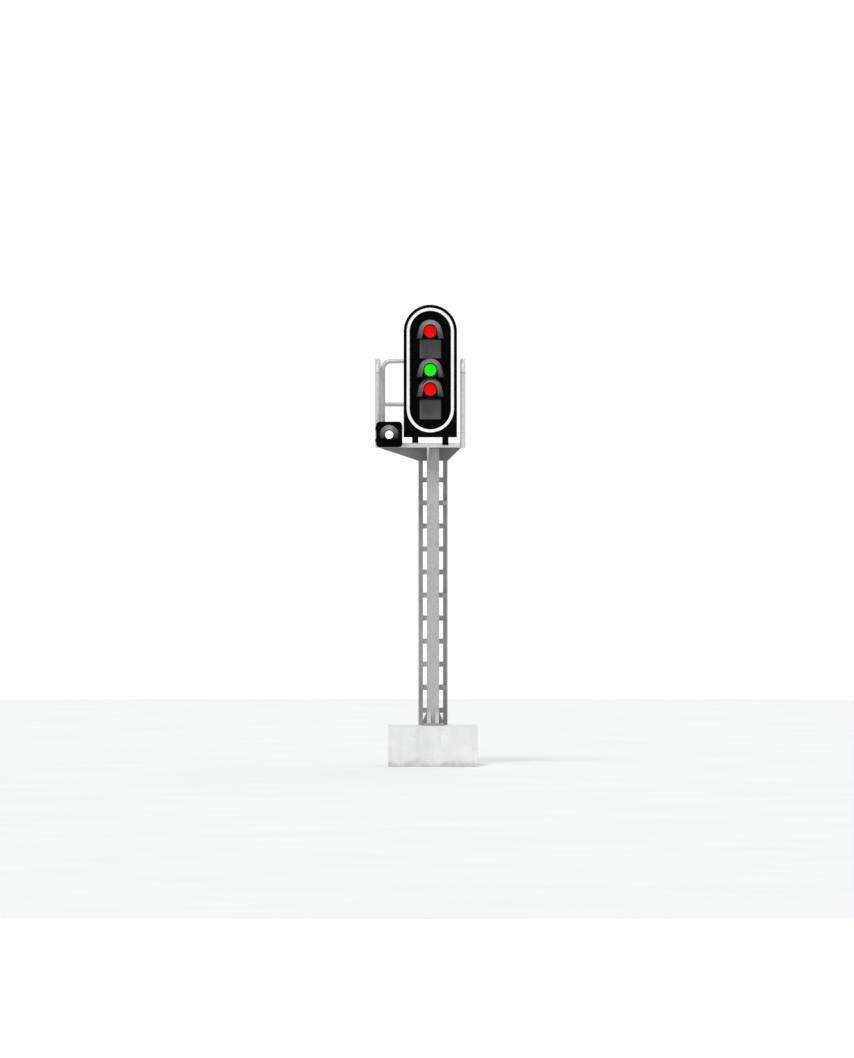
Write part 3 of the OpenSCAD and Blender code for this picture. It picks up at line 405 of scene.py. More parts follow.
def lens_glass(name, colour, rim):
    """Lit lens: bright rings over the ridges, a hot centre and a darker rim."""
    look = Look(name)
    radius = look.attribute("radius")
    rings = look.math("PINGPONG", look.math("MULTIPLY", radius, 13.0), 0.5)
    glow = look.span(rings, 0.0, 0.5, 0.90, 1.06)
    glow = look.math("MULTIPLY", glow, look.span(radius, 0.90, 1.0, 1.0, 0.55))
    speck = look.span(look.noise(60.0, 3.0), 0.3, 0.7, 0.97, 1.03)
    glow = look.math("MULTIPLY", glow, speck)
    glow = look.math("MULTIPLY", glow, look.span(look.seen(), 0.0, 1.0, 0.2, 1.0))
    light = look.blend(rim, colour, look.span(radius, 1.0, 0.86))
    return look.set(
        base_color=look.blend(dim(rim, 0.10), dim(colour, 0.35), speck),
        roughness=look.span(rings, 0.0, 0.5, 0.16, 0.30),
        specular=0.12,
        emission_color=light,
        emission_strength=glow,
        normal=look.bump(look.noise(300.0, 2.0), 0.0002, 0.2),
    )


def rubber():
    look = Look("rubber_black")
    bloom = look.noise(22.0, 5.0, 0.6)
    colour = look.blend(grey(0.0030), grey(0.0075), look.span(bloom, 0.35, 0.7))
    dust = look.math("MULTIPLY", look.span(look.normal_axis(2), 0.3, 0.9), 0.6)
    colour = look.blend(colour, (0.045, 0.043, 0.040, 1.0), dust)
    return look.set(
        base_color=colour,
        roughness=look.span(bloom, 0.3, 0.7, 0.62, 0.80),
        specular=0.15,
        normal=look.bump(look.noise(340.0, 3.0), 0.0003, 0.5),
    )


def zinc():
    """Zinc-plated fasteners: yellowish and blue casts, turning marks, and dull tops."""
    look = Look("zinc_bolts")
    cast = look.noise(45.0, 4.0, 0.6, twist=0.6)
    colour = look.blend((0.46, 0.47, 0.49, 1.0), (0.60, 0.57, 0.50, 1.0), look.span(cast, 0.35, 0.68))
    rust = look.span(look.noise(90.0, 5.0, 0.65), 0.64, 0.76)
    colour = look.blend(colour, (0.20, 0.11, 0.06, 1.0), look.math("MULTIPLY", rust, 0.6))
    return look.set(
        base_color=colour,
        metallic=0.75,
        roughness=look.math("ADD", look.span(cast, 0.3, 0.7, 0.34, 0.50), look.math("MULTIPLY", rust, 0.3)),
        normal=look.bump(look.noise(500.0, 3.0), 0.0002, 0.5),
    )


def plain(
    name, colour, grain, roughness, variation=0.12,
    specular=0.4, metal=0.0, transmission=0.0, depth=0.0003,
):
    """A moulded, cast or glazed surface with a tone that varies and a grain of its own."""
    look = Look(name)
    patches = look.noise(30.0, 5.0, 0.6, twist=0.3)
    low = dim(colour, 1 - variation)
    high = tuple(min(1.0, c * (1 + variation)) for c in colour) + (1.0,)
    tone = look.blend(low, high, look.span(patches, 0.3, 0.7))
    soil = look.span(look.noise(75.0, 5.0, 0.65), 0.60, 0.80, 0.0, 0.35)
    tone = look.blend(tone, dim(colour, 0.45), soil)
    return look.set(
        base_color=tone,
        metallic=metal,
        roughness=look.span(patches, 0.3, 0.7, roughness - 0.06, roughness + 0.08),
        specular=specular,
        transmission_weight=transmission,
        normal=look.bump(look.noise(grain, 3.0), depth, 0.5),
    )


def floor_look():
    look = Look("floor")
    clouds = look.noise(0.6, 5.0, 0.6)
    colour = look.blend(grey(0.91), grey(0.95), look.span(clouds, 0.3, 0.7))
    return look.set(
        base_color=colour,
        roughness=look.span(clouds, 0.3, 0.7, 0.75, 0.85),
        specular=0.1,
        normal=look.bump(look.noise(40.0, 3.0), 0.0005, 0.2),
    )


LOWER_PLATE_HEIGHT = 0.247
UPPER_PLATE_HEIGHT = 0.241
# The thin dark strip above the lower blanking plate is painted shadow under the hood
PAINTED_SHADOW_TOP = 0.274  # of the thin dark strip above the lower blanking plate, from that plate's foot
PLATE_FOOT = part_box("blanking_plates")[0].z
PAINTED_SHADOW = (PLATE_FOOT + LOWER_PLATE_HEIGHT, PLATE_FOOT + PAINTED_SHADOW_TOP)
# The heights between which two pieces get painted light and shade
RIB = (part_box("platform_rib")[0].z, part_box("platform_rib")[1].z)
WEDGE = (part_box("base_wedges")[0].z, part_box("base_wedges")[1].z)

looks = {
    "concrete": concrete(),
    "duct_plastic": plain("duct_plastic", (0.035, 0.040, 0.048), 260.0, 0.52),
    "zinc_bolts": zinc(),
    "plate_grey": galvanised("plate_grey", 0.40),
    "mast_grey": galvanised("mast_grey", 0.49),
    "pale_grey": galvanised("pale_grey", 0.73),
    "bracket_grey": painted("bracket_grey", 0.235),
    "ladder_grey": painted("ladder_grey", 0.36, rub=(0.46, 0.455, 0.445, 1.0)),
    "panel_black": black_paint(),
    "border_white": reflective_band(),
    "rubber_black": rubber(),
    # The blanking plates' darker strip is painted shadow under the hood
    "blank_grey": painted("blank_grey", 0.106, gloss=0.55, specular=0.15, chips=0.3, painted_shadow_band=PAINTED_SHADOW),
    # Hood paint with painted light and shade down from the crown
    "hood_grey": hood_paint_and_shade("hood_grey", grey(0.31), grey(0.045), 1.1),
    "lens_red": lens_glass("lens_red", (1.0, 0.0, 0.0, 1.0), (0.55, 0.0, 0.0, 1.0)),
    "lens_green": lens_glass("lens_green", (0.010, 1.0, 0.0, 1.0), (0.0, 0.55, 0.01, 1.0)),
    "lens_white": lens_glass("lens_white", (1.0, 1.0, 1.0, 1.0), (0.70, 0.72, 0.75, 1.0)),
    "reflector": plain("reflector", (0.62, 0.63, 0.65), 300.0, 0.30, metal=0.9),
    "ceramic_white": plain("ceramic_white", (0.78, 0.74, 0.66), 180.0, 0.22, 0.05, 0.5),
    "bulb_glass": plain("bulb_glass", (0.88, 0.86, 0.78), 220.0, 0.18, 0.04, 0.5, transmission=0.35),
    "terminal_plastic": plain("terminal_plastic", (0.58, 0.53, 0.42), 240.0, 0.45, 0.06),
    "transformer_paint": plain("transformer_paint", (0.10, 0.115, 0.10), 150.0, 0.40, 0.15, depth=0.0008),
    "cable_black": plain("cable_black", (0.012, 0.012, 0.013), 320.0, 0.50, 0.25),
    "gland_plastic": plain("gland_plastic", (0.020, 0.023, 0.026), 280.0, 0.48, 0.20),
}
own_looks = {
    # The rear rail's zinc is lighter than the mast's, against the shade behind the panel: painted light
    "guard_rail_rear": galvanised("rear_rail", 0.65),
    # The rib is painted darker towards its foot and the wedges darker towards their top: painted light and
    # shade
    "platform_rib": galvanised("rib", 0.70, painted_shade_fade=(RIB[1], RIB[0], 0.45)),
    "base_wedges": galvanised("wedges", 0.49, painted_shade_fade=(WEDGE[0], WEDGE[1], 0.78)),
}
# The marker hood's painted shade goes almost to black at the feet
marker_hood_look = hood_paint_and_shade("marker_hood", grey(0.33), grey(0.0015), 0.62)

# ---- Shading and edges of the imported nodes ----

WELD = 1e-5
SHARP = math.radians(32)
ROUNDED = math.radians(40)
EDGE_WIDTH = {"foundation_block": 0.010, "deck_grating": 0.0, "lamp_bulbs": 0.0, "wiring_loom": 0.0}
THIN = {"target_border": 0.0003, "door_seal": 0.0006, "anchor_nuts": 0.0006, "marker_hinge_pins": 0.0003}
DEFAULT_EDGE = 0.0009
WIDE_EDGE = 0.005


def shading_group():
    """Joins split vertices and shades smoothly below the sharp angle, so that edges can be rounded."""
    group = bpy.data.node_groups.new("even_shading", "GeometryNodeTree")
    for way in ("INPUT", "OUTPUT"):
        group.interface.new_socket("Geometry", in_out=way, socket_type="NodeSocketGeometry")
    new, link = group.nodes.new, group.links.new
    source, result = new("NodeGroupInput"), new("NodeGroupOutput")
    weld = new("GeometryNodeMergeByDistance")
    weld.inputs["Distance"].default_value = WELD
    strip = new("GeometryNodeRemoveAttribute")
    strip.inputs["Name"].default_value = "custom_normal"
    smooth = new("GeometryNodeSetShadeSmooth")
    smooth.domain = "FACE"
    smooth.inputs["Shade Smooth"].default_value = True
    crease = new("GeometryNodeSetShadeSmooth")
    crease.domain = "EDGE"
    crease.inputs["Shade Smooth"].default_value = False
    angle = new("GeometryNodeInputMeshEdgeAngle")
    compare = new("FunctionNodeCompare")
    compare.data_type = "FLOAT"
    compare.operation = "GREATER_THAN"
    compare.inputs[1].default_value = SHARP
    link(source.outputs[0], weld.inputs["Geometry"])
    link(weld.outputs["Geometry"], strip.inputs["Geometry"])
    link(strip.outputs["Geometry"], smooth.inputs["Geometry"])
    link(smooth.outputs["Geometry"], crease.inputs["Geometry"])
    link(angle.outputs["Unsigned Angle"], compare.inputs[0])
    link(compare.outputs["Result"], crease.inputs["Selection"])
    link(crease.outputs["Geometry"], result.inputs[0])
    return group


def finish_nodes():
    group = shading_group()
    for name, node in nodes.items():
        slot = node.data.materials[0].name
        node.material_slots[0].material = own_looks.get(name) or looks[slot]
        width = EDGE_WIDTH.get(name, THIN.get(name, DEFAULT_EDGE))
        if width == 0.0:
            continue
        even = node.modifiers.new("even_shading", "NODES")
        even.node_group = group
        bevel = node.modifiers.new("edges", "BEVEL")
        bevel.limit_method = "ANGLE"
        bevel.angle_limit = ROUNDED
        bevel.width = width
        bevel.segments = 3 if width > WIDE_EDGE else 2
        bevel.use_clamp_overlap = False
        bevel.harden_normals = True


finish_nodes()

# ---- Sizes that the frame's boxes don't show ----

RUNG_PITCH = 0.300
RUNG_HEIGHT = 0.066
BRACKET_HEIGHT = 0.060
SIDE_BEND = 0.163
REAR_RAIL_D = 0.061
FOOT_PLATE_T = 0.010
REAR_LEG_INSET = 0.030
REAR_LEG_SHIFT = 0.0002
GUSSET_T = 0.014
WEDGE_T = 0.049
BRACKET_T = 0.010
BRACKET_COUNT = 3
BRACKET_PITCH = 4 * RUNG_PITCH
MID_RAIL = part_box("deck_frame")[1].z + 0.506
MID_RAIL_STEP = 0.003
CASE_RADIUS = 0.200

# ---- Mesh tools ----


def piece(name, bm, slot, body, look=None):
    """Makes an object from a bmesh, shades it by angle, and rides it on a body."""
    bmesh.ops.recalc_face_normals(bm, faces=bm.faces)
    for edge in bm.edges:
        if len(edge.link_faces) == 2:
            edge.smooth = edge.calc_face_angle(0.0) < SHARP
    for face in bm.faces:
        face.smooth = True
    mesh = bpy.data.meshes.new(name)
    bm.to_mesh(mesh)
    bm.free()
    made = bpy.data.objects.new(name, mesh)
    made.data.materials.append(look or looks[slot])
    scene.collection.objects.link(made)
    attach(made, body)
    return made


def lathe(bm, profile, centre, axis, steps, loop=False):
    """Turns a profile of (radius, along) pairs about an axis through centre. Radius 0 ends close it."""
    turn = Vector((0, 0, 1)).rotation_difference(Vector(axis)).to_matrix()
    rings = []
    for radius, along in profile:
        count = 1 if radius == 0 else steps
        rings.append([
            bm.verts.new(Vector(centre) + turn @ Vector((
                radius * math.cos(2 * math.pi * i / steps),
                radius * math.sin(2 * math.pi * i / steps),
                along,
            )))
            for i in range(count)
        ])
    for a, b in zip(rings, rings[1:] + (rings[:1] if loop else [])):
        for i in range(steps):
            j = (i + 1) % steps
            corners = [a[i % len(a)], a[j % len(a)], b[j % len(b)], b[i % len(b)]]
            unique = list(dict.fromkeys(corners))
            if len(unique) > 2:
                bm.faces.new(unique)
    return rings


# ---- Lenses ----

LENS_STEPS = 96
RIDGE_PITCH = 0.0062
RIDGE_DEPTH = 0.0009
LENS_SAMPLE = 0.00155
LENS_RISE = 0.0108
SEAT_DEPTH = 0.0111
SEAT_RIM = 0.004


def make_lens(name, node, slot, body):
    """A domed lens with concentric ridges, in the place of the plain one."""
    low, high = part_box(node)
    seat_radius = (high.x - low.x) / 2
    radius = seat_radius - SEAT_RIM if slot != "lens_white" else seat_radius - SEAT_RIM / 2
    centre = Vector(((low.x + high.x) / 2, 0, (low.z + high.z) / 2))
    bend = (radius * radius + LENS_RISE * LENS_RISE) / (2 * LENS_RISE)
    seat = low.y + SEAT_DEPTH
    profile = [(0.0, low.y)]
    count = int(radius / LENS_SAMPLE)
    for i in range(1, count + 1):
        r = radius * i / count
        dome = low.y + bend - math.sqrt(bend * bend - r * r)
        ridge = RIDGE_DEPTH * abs(math.sin(math.pi * r / RIDGE_PITCH))
        profile.append((r, min(dome + ridge, seat - 0.0001)))
    profile += [(radius, seat), (seat_radius, seat), (seat_radius, high.y), (0.0, high.y)]
    bm = bmesh.new()
    share = bm.verts.layers.float.new("radius")
    # The lathe's axis is +Y, so a profile's "along" is its Y
    rings = lathe(bm, profile, centre, (0, 1, 0), LENS_STEPS)
    for ring, (r, _) in zip(rings, profile):
        for vert in ring:
            vert[share] = min(1.0, r / radius)
    made = piece(name, bm, slot, body)
    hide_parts(node)


make_lens("lens_upper_glass", "lens_upper", "lens_red", "signal")
make_lens("lens_middle_glass", "lens_middle", "lens_green", "signal")
make_lens("lens_lower_glass", "lens_lower", "lens_red", "signal")
make_lens("marker_lens_glass", "marker_lens", "lens_white", "marker_door")

# ---- Hoods ----

ARCH_STEPS = 56
LEG_STEPS = 8
HOOD_WALL = 0.003
HOOD_RINGS = 14


def arch_point(radius, splay, foot, share):
    """A point on an arch of that radius: share runs from 0 at the left foot to 1 at the right one."""
    lean = math.radians(splay)
    leg_top = Vector((radius * math.cos(lean), radius * math.sin(lean)))
    leg_foot = Vector((leg_top.x + (foot + leg_top.y) * math.tan(lean), -foot))
    total = ARCH_STEPS + 2 * LEG_STEPS
    i = share * total
    if i < LEG_STEPS:
        point = leg_foot.lerp(leg_top, i / LEG_STEPS)
        return Vector((-point.x, point.y))
    if i > total - LEG_STEPS:
        return leg_foot.lerp(leg_top, (total - i) / LEG_STEPS)
    bend = math.radians(180 - 2 * splay)
    angle = math.radians(180 - splay) - (i - LEG_STEPS) / ARCH_STEPS * bend
    return Vector((radius * math.cos(angle), radius * math.sin(angle)))


def hood_section(rear_radius, tip_radius, flange, length):
    """The wall's outline as (radius, distance forward, inside).

    It runs along the flange, the outer skin, the rolled tip and the inner skin."""
    wall = HOOD_WALL
    slope = (rear_radius - tip_radius) / length
    steps = [length * k / HOOD_RINGS for k in range(1, HOOD_RINGS)]
    outer = [
        (rear_radius - flange, 0.0, 0.0),
        (rear_radius - flange * 0.5, 0.0, 0.0),
        (rear_radius, 0.0, 0.0),
    ]
    outer += [(rear_radius - slope * s - 0.0002, s, 0.0) for s in [0.002] + steps]
    tip = [
        (tip_radius + wall, length - 0.0060, 0.0),
        (tip_radius + wall + 0.0012, length - 0.0048, 0.0),
        (tip_radius + wall + 0.0018, length - 0.0030, 0.0),
        (tip_radius + wall + 0.0014, length - 0.0010, 0.0),
        (tip_radius + wall - 0.0004, length, 0.0),
        (tip_radius + 0.0008, length, 0.5),
        (tip_radius, length - 0.0010, 1.0),
    ]
    inner = [(rear_radius - slope * s - wall, s, 1.0) for s in reversed(steps)]
    corner = [
        (rear_radius - wall - 0.0004, wall + 0.0026, 1.0),
        (rear_radius - wall - 0.0016, wall + 0.0009, 1.0),
        (rear_radius - wall - 0.0040, wall, 1.0),
        (rear_radius - flange * 0.6, wall, 1.0),
        (rear_radius - flange, wall, 1.0),
    ]
    return outer + tip + inner + corner


def make_hood(name, node, lens_node, face, splays, flange, tip_radius, body, look=None):
    """A hood of formed sheet round a lens. splays are the legs' leans in degrees, rear and tip."""
    low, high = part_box(node)
    lens_low, lens_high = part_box(lens_node)
    centre = Vector(((low.x + high.x) / 2, 0, (lens_low.z + lens_high.z) / 2))
    foot = centre.z - low.z
    rear_radius = high.z - centre.z
    length = high.y - low.y
    rings = []
    bm = bmesh.new()
    painted_shade_drop = bm.verts.layers.float.new("painted_shade_drop")
    inside = bm.verts.layers.float.new("inside")
    total = ARCH_STEPS + 2 * LEG_STEPS
    for radius, forward, within in hood_section(rear_radius, tip_radius, flange, length):
        splay = splays[0] + (splays[1] - splays[0]) * forward / length
        ring = []
        for i in range(total + 1):
            point = arch_point(radius, splay, foot, i / total)
            vert = bm.verts.new((centre.x + point.x, face - forward, centre.z + point.y))
            # The share down from the crown, which the hood's paint turns into painted light and shade
            vert[painted_shade_drop] = min(1.0, max(0.0, (radius - point.y) / (radius + foot)))
            vert[inside] = within
            ring.append(vert)
        rings.append(ring)
    for a, b in zip(rings, rings[1:] + rings[:1]):
        for i in range(total):
            bm.faces.new((a[i], a[i + 1], b[i + 1], b[i]))
    bm.faces.new([ring[0] for ring in rings])
    bm.faces.new([ring[-1] for ring in reversed(rings)])
    made = piece(name, bm, "hood_grey", body, look)
    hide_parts(node)


panel_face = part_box("target_panel")[0].y
door_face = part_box("marker_hood")[1].y
for place in ("upper", "middle", "lower"):
    make_hood(
        "hood_" + place + "_shell", "hood_" + place, "lens_" + place, panel_face,
        (14, 9), 0.018, 0.088, "signal",
    )
make_hood(
    "marker_hood_shell", "marker_hood", "marker_lens", door_face,
    (0, 0), 0.014, 0.063, "marker_door", marker_hood_look,
)

# ---- Welds ----

BEAD_STEP = 0.0026
BEAD_SIDES = 6
BEAD = 0.0030
RUNG_BEAD = 0.0024
SADDLE_BEAD = 0.0028
RING_BEAD = 0.0032
SADDLE_STEPS = 32
RING_STEPS = 40


def walk(path, closed):
    """Points along a path at even short steps."""
    ends = list(zip(path, path[1:] + (path[:1] if closed else [])))
    ends = ends if closed else ends[:len(path) - 1]
    points = []
    for a, b in ends:
        count = max(1, round((b - a).length / BEAD_STEP))
        points += [a.lerp(b, k / count) for k in range(count)]
    return points if closed else points + [path[-1]]


def bead(bm, path, radius=BEAD, closed=False):
    """A weld run: a round bead that swells and narrows at every ripple and tapers at open ends."""
    points = walk([Vector(point) for point in path], closed)
    last = len(points) - 1
    side = None
    rings = []
    for i, point in enumerate(points):
        before = points[i - 1] if closed or i > 0 else point
        after = points[(i + 1) % len(points)] if closed or i < last else point
        along = (after - before).normalized()
        side = (side - along * side.dot(along)) if side else along.orthogonal()
        side.normalize()
        across = along.cross(side)
        swell = radius * (1.14 if i % 2 else 0.90)
        if not closed and i in (0, last):
            swell = radius * 0.45
        rings.append([
            bm.verts.new(point + swell * (side * math.cos(turn) + across * math.sin(turn)))
            for turn in [2 * math.pi * k / BEAD_SIDES for k in range(BEAD_SIDES)]
        ])
    for a, b in zip(rings, rings[1:] + (rings[:1] if closed else [])):
        for k in range(BEAD_SIDES):
            m = (k + 1) % BEAD_SIDES
            bm.faces.new((a[k], a[m], b[m], b[k]))
    if not closed:
        bm.faces.new(rings[0])
        bm.faces.new(rings[-1])


def mirrored(draw):
    """Calls draw for the four corners of the mast, with the signs of X and Y."""
    for sx in (-1, 1):
        for sy in (-1, 1):
            draw(sx, sy)


def foot_welds():
    """Round the mast's flanges, the gussets and the wedges, on the base plate and up the mast."""
    bm = bmesh.new()
    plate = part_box("base_plate")[1]
    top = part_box("base_gussets")[1].z
    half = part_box("mast_beam")[1].y
    wedge = [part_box("base_wedges")[1].x - WEDGE_T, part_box("base_wedges")[1].x]

    def corner(sx, sy):
        for y in (half, half - GUSSET_T):
            bead(bm, [
                (sx * half, sy * y, top),
                (sx * half, sy * y, plate.z),
                (sx * plate.x, sy * y, plate.z),
            ])
        for x in wedge:
            bead(bm, [
                (sx * x, sy * half, top),
                (sx * x, sy * half, plate.z),
                (sx * x, sy * plate.y, plate.z),
            ])
        bead(bm, [(0, sy * half, plate.z), (sx * wedge[0], sy * half, plate.z)])

    mirrored(corner)
    piece("weld_mast_foot", bm, "plate_grey", "signal")


def bracket_welds():
    """Between the mast's top, its cap, the platform bracket and the rib."""
    bm = bmesh.new()
    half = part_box("mast_beam")[1].y
    low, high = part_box("platform_bracket")
    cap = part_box("mast_cap")[0].z
    for x in (-half, half):
        bead(bm, [(x, half, low.z), (x, half, high.z)])
    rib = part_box("platform_rib")
    for x in (rib[0].x, rib[1].x):
        bead(bm, [(x, -half, low.z + 0.004), (x, -half, high.z - 0.001)])
    corners = [(-half, -half, cap), (half, -half, cap), (half, half, cap), (-half, half, cap)]
    bead(bm, corners, closed=True)
    piece("weld_mast_top", bm, "bracket_grey", "signal")


def ladder_welds():
    """Round both ends of every rung, and where the three brackets meet the mast."""
    bm = bmesh.new()
    low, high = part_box("ladder_rungs")
    inset = RUNG_BEAD / 2
    z = low.z
    while z < high.z:
        for x in (low.x, high.x):
            bead(bm, [
                (x, low.y + inset, z),
                (x, high.y - inset, z),
                (x, high.y - inset, z + RUNG_HEIGHT),
                (x, low.y + inset, z + RUNG_HEIGHT),
            ], RUNG_BEAD, closed=True)
        z += RUNG_PITCH
    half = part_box("mast_beam")[1].y
    low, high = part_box("ladder_brackets")
    for k in range(BRACKET_COUNT):
        foot = low.z + k * BRACKET_PITCH
        for x in (-half, half):
            bead(bm, [(x, half, foot), (x, half, foot + BRACKET_HEIGHT)])
        for side in (-1, 1):
            x = side * high.x - side * BRACKET_T
            y = half + BRACKET_T
            bead(bm, [(x, y, foot), (x, y, foot + BRACKET_HEIGHT)])
    piece("weld_ladder", bm, "ladder_grey", "signal")


def saddle(bm, end, along, leg_radius, tube_radius):
    """The weld where a level tube runs into an upright leg, whose axis passes through end."""
    across = Vector((along.y, along.x, 0))
    path = []
    for k in range(SADDLE_STEPS):
        turn = 2 * math.pi * k / SADDLE_STEPS
        side = tube_radius * math.cos(turn)
        up = Vector((0, 0, tube_radius * math.sin(turn)))
        reach = math.sqrt(leg_radius * leg_radius - side * side)
        path.append(Vector(end) + across * side + along * reach + up)
    bead(bm, path, SADDLE_BEAD, closed=True)


def rail_welds():
    """At both ends of each mid rail, and round the feet of the rear guard rail."""
    bm = bmesh.new()
    for name in ("guard_rail_left", "guard_rail_right"):
        low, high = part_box(name)
        leg = (high.x - low.x) / 2
        centre = (low.x + high.x) / 2
        for y, along in ((low.y + leg, Vector((0, 1, 0))), (high.y - leg, Vector((0, -1, 0)))):
            saddle(bm, (centre, y, MID_RAIL), along, leg, leg - MID_RAIL_STEP)
    low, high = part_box("guard_rail_rear")
    y = (low.y + high.y) / 2
    foot_top = low.z + FOOT_PLATE_T
    leg = REAR_RAIL_D / 2
    inset = REAR_LEG_INSET
    for x, along in ((low.x + inset, Vector((1, 0, 0))), (high.x - inset, Vector((-1, 0, 0)))):
        axis = x + REAR_LEG_SHIFT
        saddle(bm, (axis, y, MID_RAIL), along, leg, leg - MID_RAIL_STEP)
        turns = [2 * math.pi * k / RING_STEPS for k in range(RING_STEPS)]
        ring = [(axis + leg * math.cos(turn), y + leg * math.sin(turn), foot_top) for turn in turns]
        bead(bm, ring, RING_BEAD, closed=True)
    piece("weld_guard_rails", bm, "pale_grey", "signal")


def rail_collars():
    """A thin collar on each leg of the side rails, where the bend starts."""
    bm = bmesh.new()
    for name in ("guard_rail_left", "guard_rail_right"):
        low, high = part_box(name)
        leg = (high.x - low.x) / 2
        profile = [
            (leg - 0.002, -0.006), (leg + 0.0003, -0.006), (leg + 0.0008, -0.004),
            (leg + 0.0008, 0.004), (leg + 0.0003, 0.006), (leg - 0.002, 0.006),
        ]
        for y in (low.y + leg, high.y - leg):
            centre = ((low.x + high.x) / 2, y, high.z - leg - SIDE_BEND)
            lathe(bm, profile, centre, (0, 0, 1), 64, loop=True)
    piece("rail_collars", bm, "plate_grey", "signal")


foot_welds()
bracket_welds()
ladder_welds()
rail_welds()
rail_collars()

# ---- Fasteners and small turned pieces ----


def screw(bm, centre, axis, radius):
    """A pan head with a round recess, standing on the face at centre."""
    profile = [
        (0, 0.22), (0.34, 0.22), (0.40, 0.60), (0.72, 0.58),
        (0.92, 0.36), (1.0, 0.08), (1.0, -0.06), (0, -0.06),
    ]
    lathe(bm, [(radius * r, radius * a) for r, a in profile], centre, axis, 20)


def screw_ring(bm, x, y, z, ring_radius, turns, radius):
    """Screws round a ring on a front face, at these turns in degrees from its right."""
    for turn in turns:
        a = math.radians(turn)
        screw(bm, (x + ring_radius * math.cos(a), y, z + ring_radius * math.sin(a)), FRONT, radius)


FRONT = (0, -1, 0)
UP = (0, 0, 1)
BLANKING_INSET = 0.018
BLANKING_SCREW = 0.0052
BEZEL_RING = 0.085
BEZEL_SCREW = 0.0030
HOOD_RING = 0.1385
HOOD_SCREW = 0.0042
MARKER_HOOD_RING = 0.1125
MARKER_HOOD_SCREW = 0.0035
PANEL_INSET = 0.017
PANEL_FOOT_INSET = 0.030
PANEL_SCREW = 0.0065
MARKER_INSET = 0.030
MARKER_HINGE_INSET = 0.040
MARKER_SCREW = 0.0045


def blanking_screws():
    bm = bmesh.new()
    low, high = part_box("blanking_plates")
    inset = BLANKING_INSET
    lower_top = low.z + LOWER_PLATE_HEIGHT
    upper_foot = high.z - UPPER_PLATE_HEIGHT
    for z in (low.z + inset, lower_top - inset, upper_foot + inset, high.z - inset):
        for x in (low.x + inset, high.x - inset):
            screw(bm, (x, low.y, z), FRONT, BLANKING_SCREW)
    piece("blanking_screws", bm, "zinc_bolts", "signal", looks["blank_grey"])


def lamp_screws():
    """Four in each bezel, and five through the flange inside each hood."""
    bm = bmesh.new()
    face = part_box("lens_bezels")[0].y
    for place in ("upper", "middle", "lower"):
        low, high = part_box("lens_" + place)
        x, z = (low.x + high.x) / 2, (low.z + high.z) / 2
        screw_ring(bm, x, face, z, BEZEL_RING, (45, 135, 225, 315), BEZEL_SCREW)
        hood_face = panel_face - HOOD_WALL
        screw_ring(bm, x, hood_face, z, HOOD_RING, (10, 50, 90, 130, 170), HOOD_SCREW)
    piece("lamp_screws", bm, "zinc_bolts", "signal", looks["panel_black"])


def panel_screws():
    """Round heads that hold the target panel to its uprights and stiffen its edge."""
    bm = bmesh.new()
    low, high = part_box("target_panel")
    centre = (low.x + high.x) / 2
    radius = (high.x - low.x) / 2 - PANEL_INSET
    arc_z = high.z - (high.x - low.x) / 2
    foot = low.z + PANEL_FOOT_INSET
    for side in (-1, 1):
        for k in range(6):
            z = low.z + PANEL_FOOT_INSET + k * (arc_z - low.z - PANEL_FOOT_INSET) / 5
            screw(bm, (centre + side * radius, low.y, z), FRONT, PANEL_SCREW)
    screw_ring(bm, centre, low.y, arc_z, radius, (30, 60, 90, 120, 150), PANEL_SCREW)
    for k in range(1, 4):
        screw(bm, (low.x + k * (high.x - low.x) / 4, low.y, foot), FRONT, PANEL_SCREW)
    piece("panel_screws", bm, "panel_black", "signal")


def marker_screws():
    """Four corners of the marker's door, and three in the hood's flange."""
    bm = bmesh.new()
    low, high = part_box("marker_door")
    for x in (low.x + MARKER_HINGE_INSET, high.x - MARKER_INSET):
        for z in (low.z + MARKER_INSET, high.z - MARKER_INSET):
            screw(bm, (x, low.y, z), FRONT, MARKER_SCREW)
    lens_low, lens_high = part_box("marker_lens")
    x, z = (lens_low.x + lens_high.x) / 2, (lens_low.z + lens_high.z) / 2
    hood_face = door_face - HOOD_WALL
    screw_ring(bm, x, hood_face, z, MARKER_HOOD_RING, (15, 90, 165), MARKER_HOOD_SCREW)
    piece("marker_screws", bm, "panel_black", "marker_door")


def anchor_threads():
    """The threads that stand out above the nuts, with a flat end on each bolt."""
    bm = bmesh.new()
    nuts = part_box("anchor_nuts")
    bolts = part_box("anchor_bolts")
    radius = 0.012
    pitch = 0.0026
    start, end = nuts[1].z, bolts[1].z - 0.0004
    count = int((end - start) / pitch)
    profile = [(0, 0)]
    for k in range(count):
        profile += [(radius, k * pitch), (radius + 0.0010, (k + 0.5) * pitch)]
    profile += [(radius, count * pitch), (0, count * pitch)]
    for sx in (bolts[0].x + radius, bolts[1].x - radius):
        for sy in (bolts[0].y + radius, bolts[1].y - radius):
            lathe(bm, profile, (sx, sy, start), UP, 32)
    piece("anchor_threads", bm, "zinc_bolts", "signal")


def rung_studs():
    """Rows of raised studs along the top of every rung."""
    bm = bmesh.new()
    low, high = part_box("ladder_rungs")
    profile = [
        (0, 0.0016), (0.0022, 0.0014), (0.0038, 0.0006),
        (0.0044, 0.0), (0.0044, -0.0004), (0, -0.0004),
    ]
    middle = (low.y + high.y) / 2
    count = 10
    spare = 0.013
    z = low.z + RUNG_HEIGHT
    while z < high.z + 0.001:
        for k in range(count):
            x = low.x + spare + k * (high.x - low.x - 2 * spare) / (count - 1)
            lathe(bm, profile, (x, middle, z), UP, 12)
        z += RUNG_PITCH
    piece("rung_studs", bm, "ladder_grey", "signal")


blanking_screws()
lamp_screws()
panel_screws()
marker_screws()
anchor_threads()
rung_studs()

# ---- The casing's door ----

RIB_RADIUS = 0.012
RIB_PROUD = 0.005
RIB_TURNS = 12
RIB_OFFSETS = (-0.075, 0.045)
BAR_REACH = 0.10
BAR_RISE = 0.05


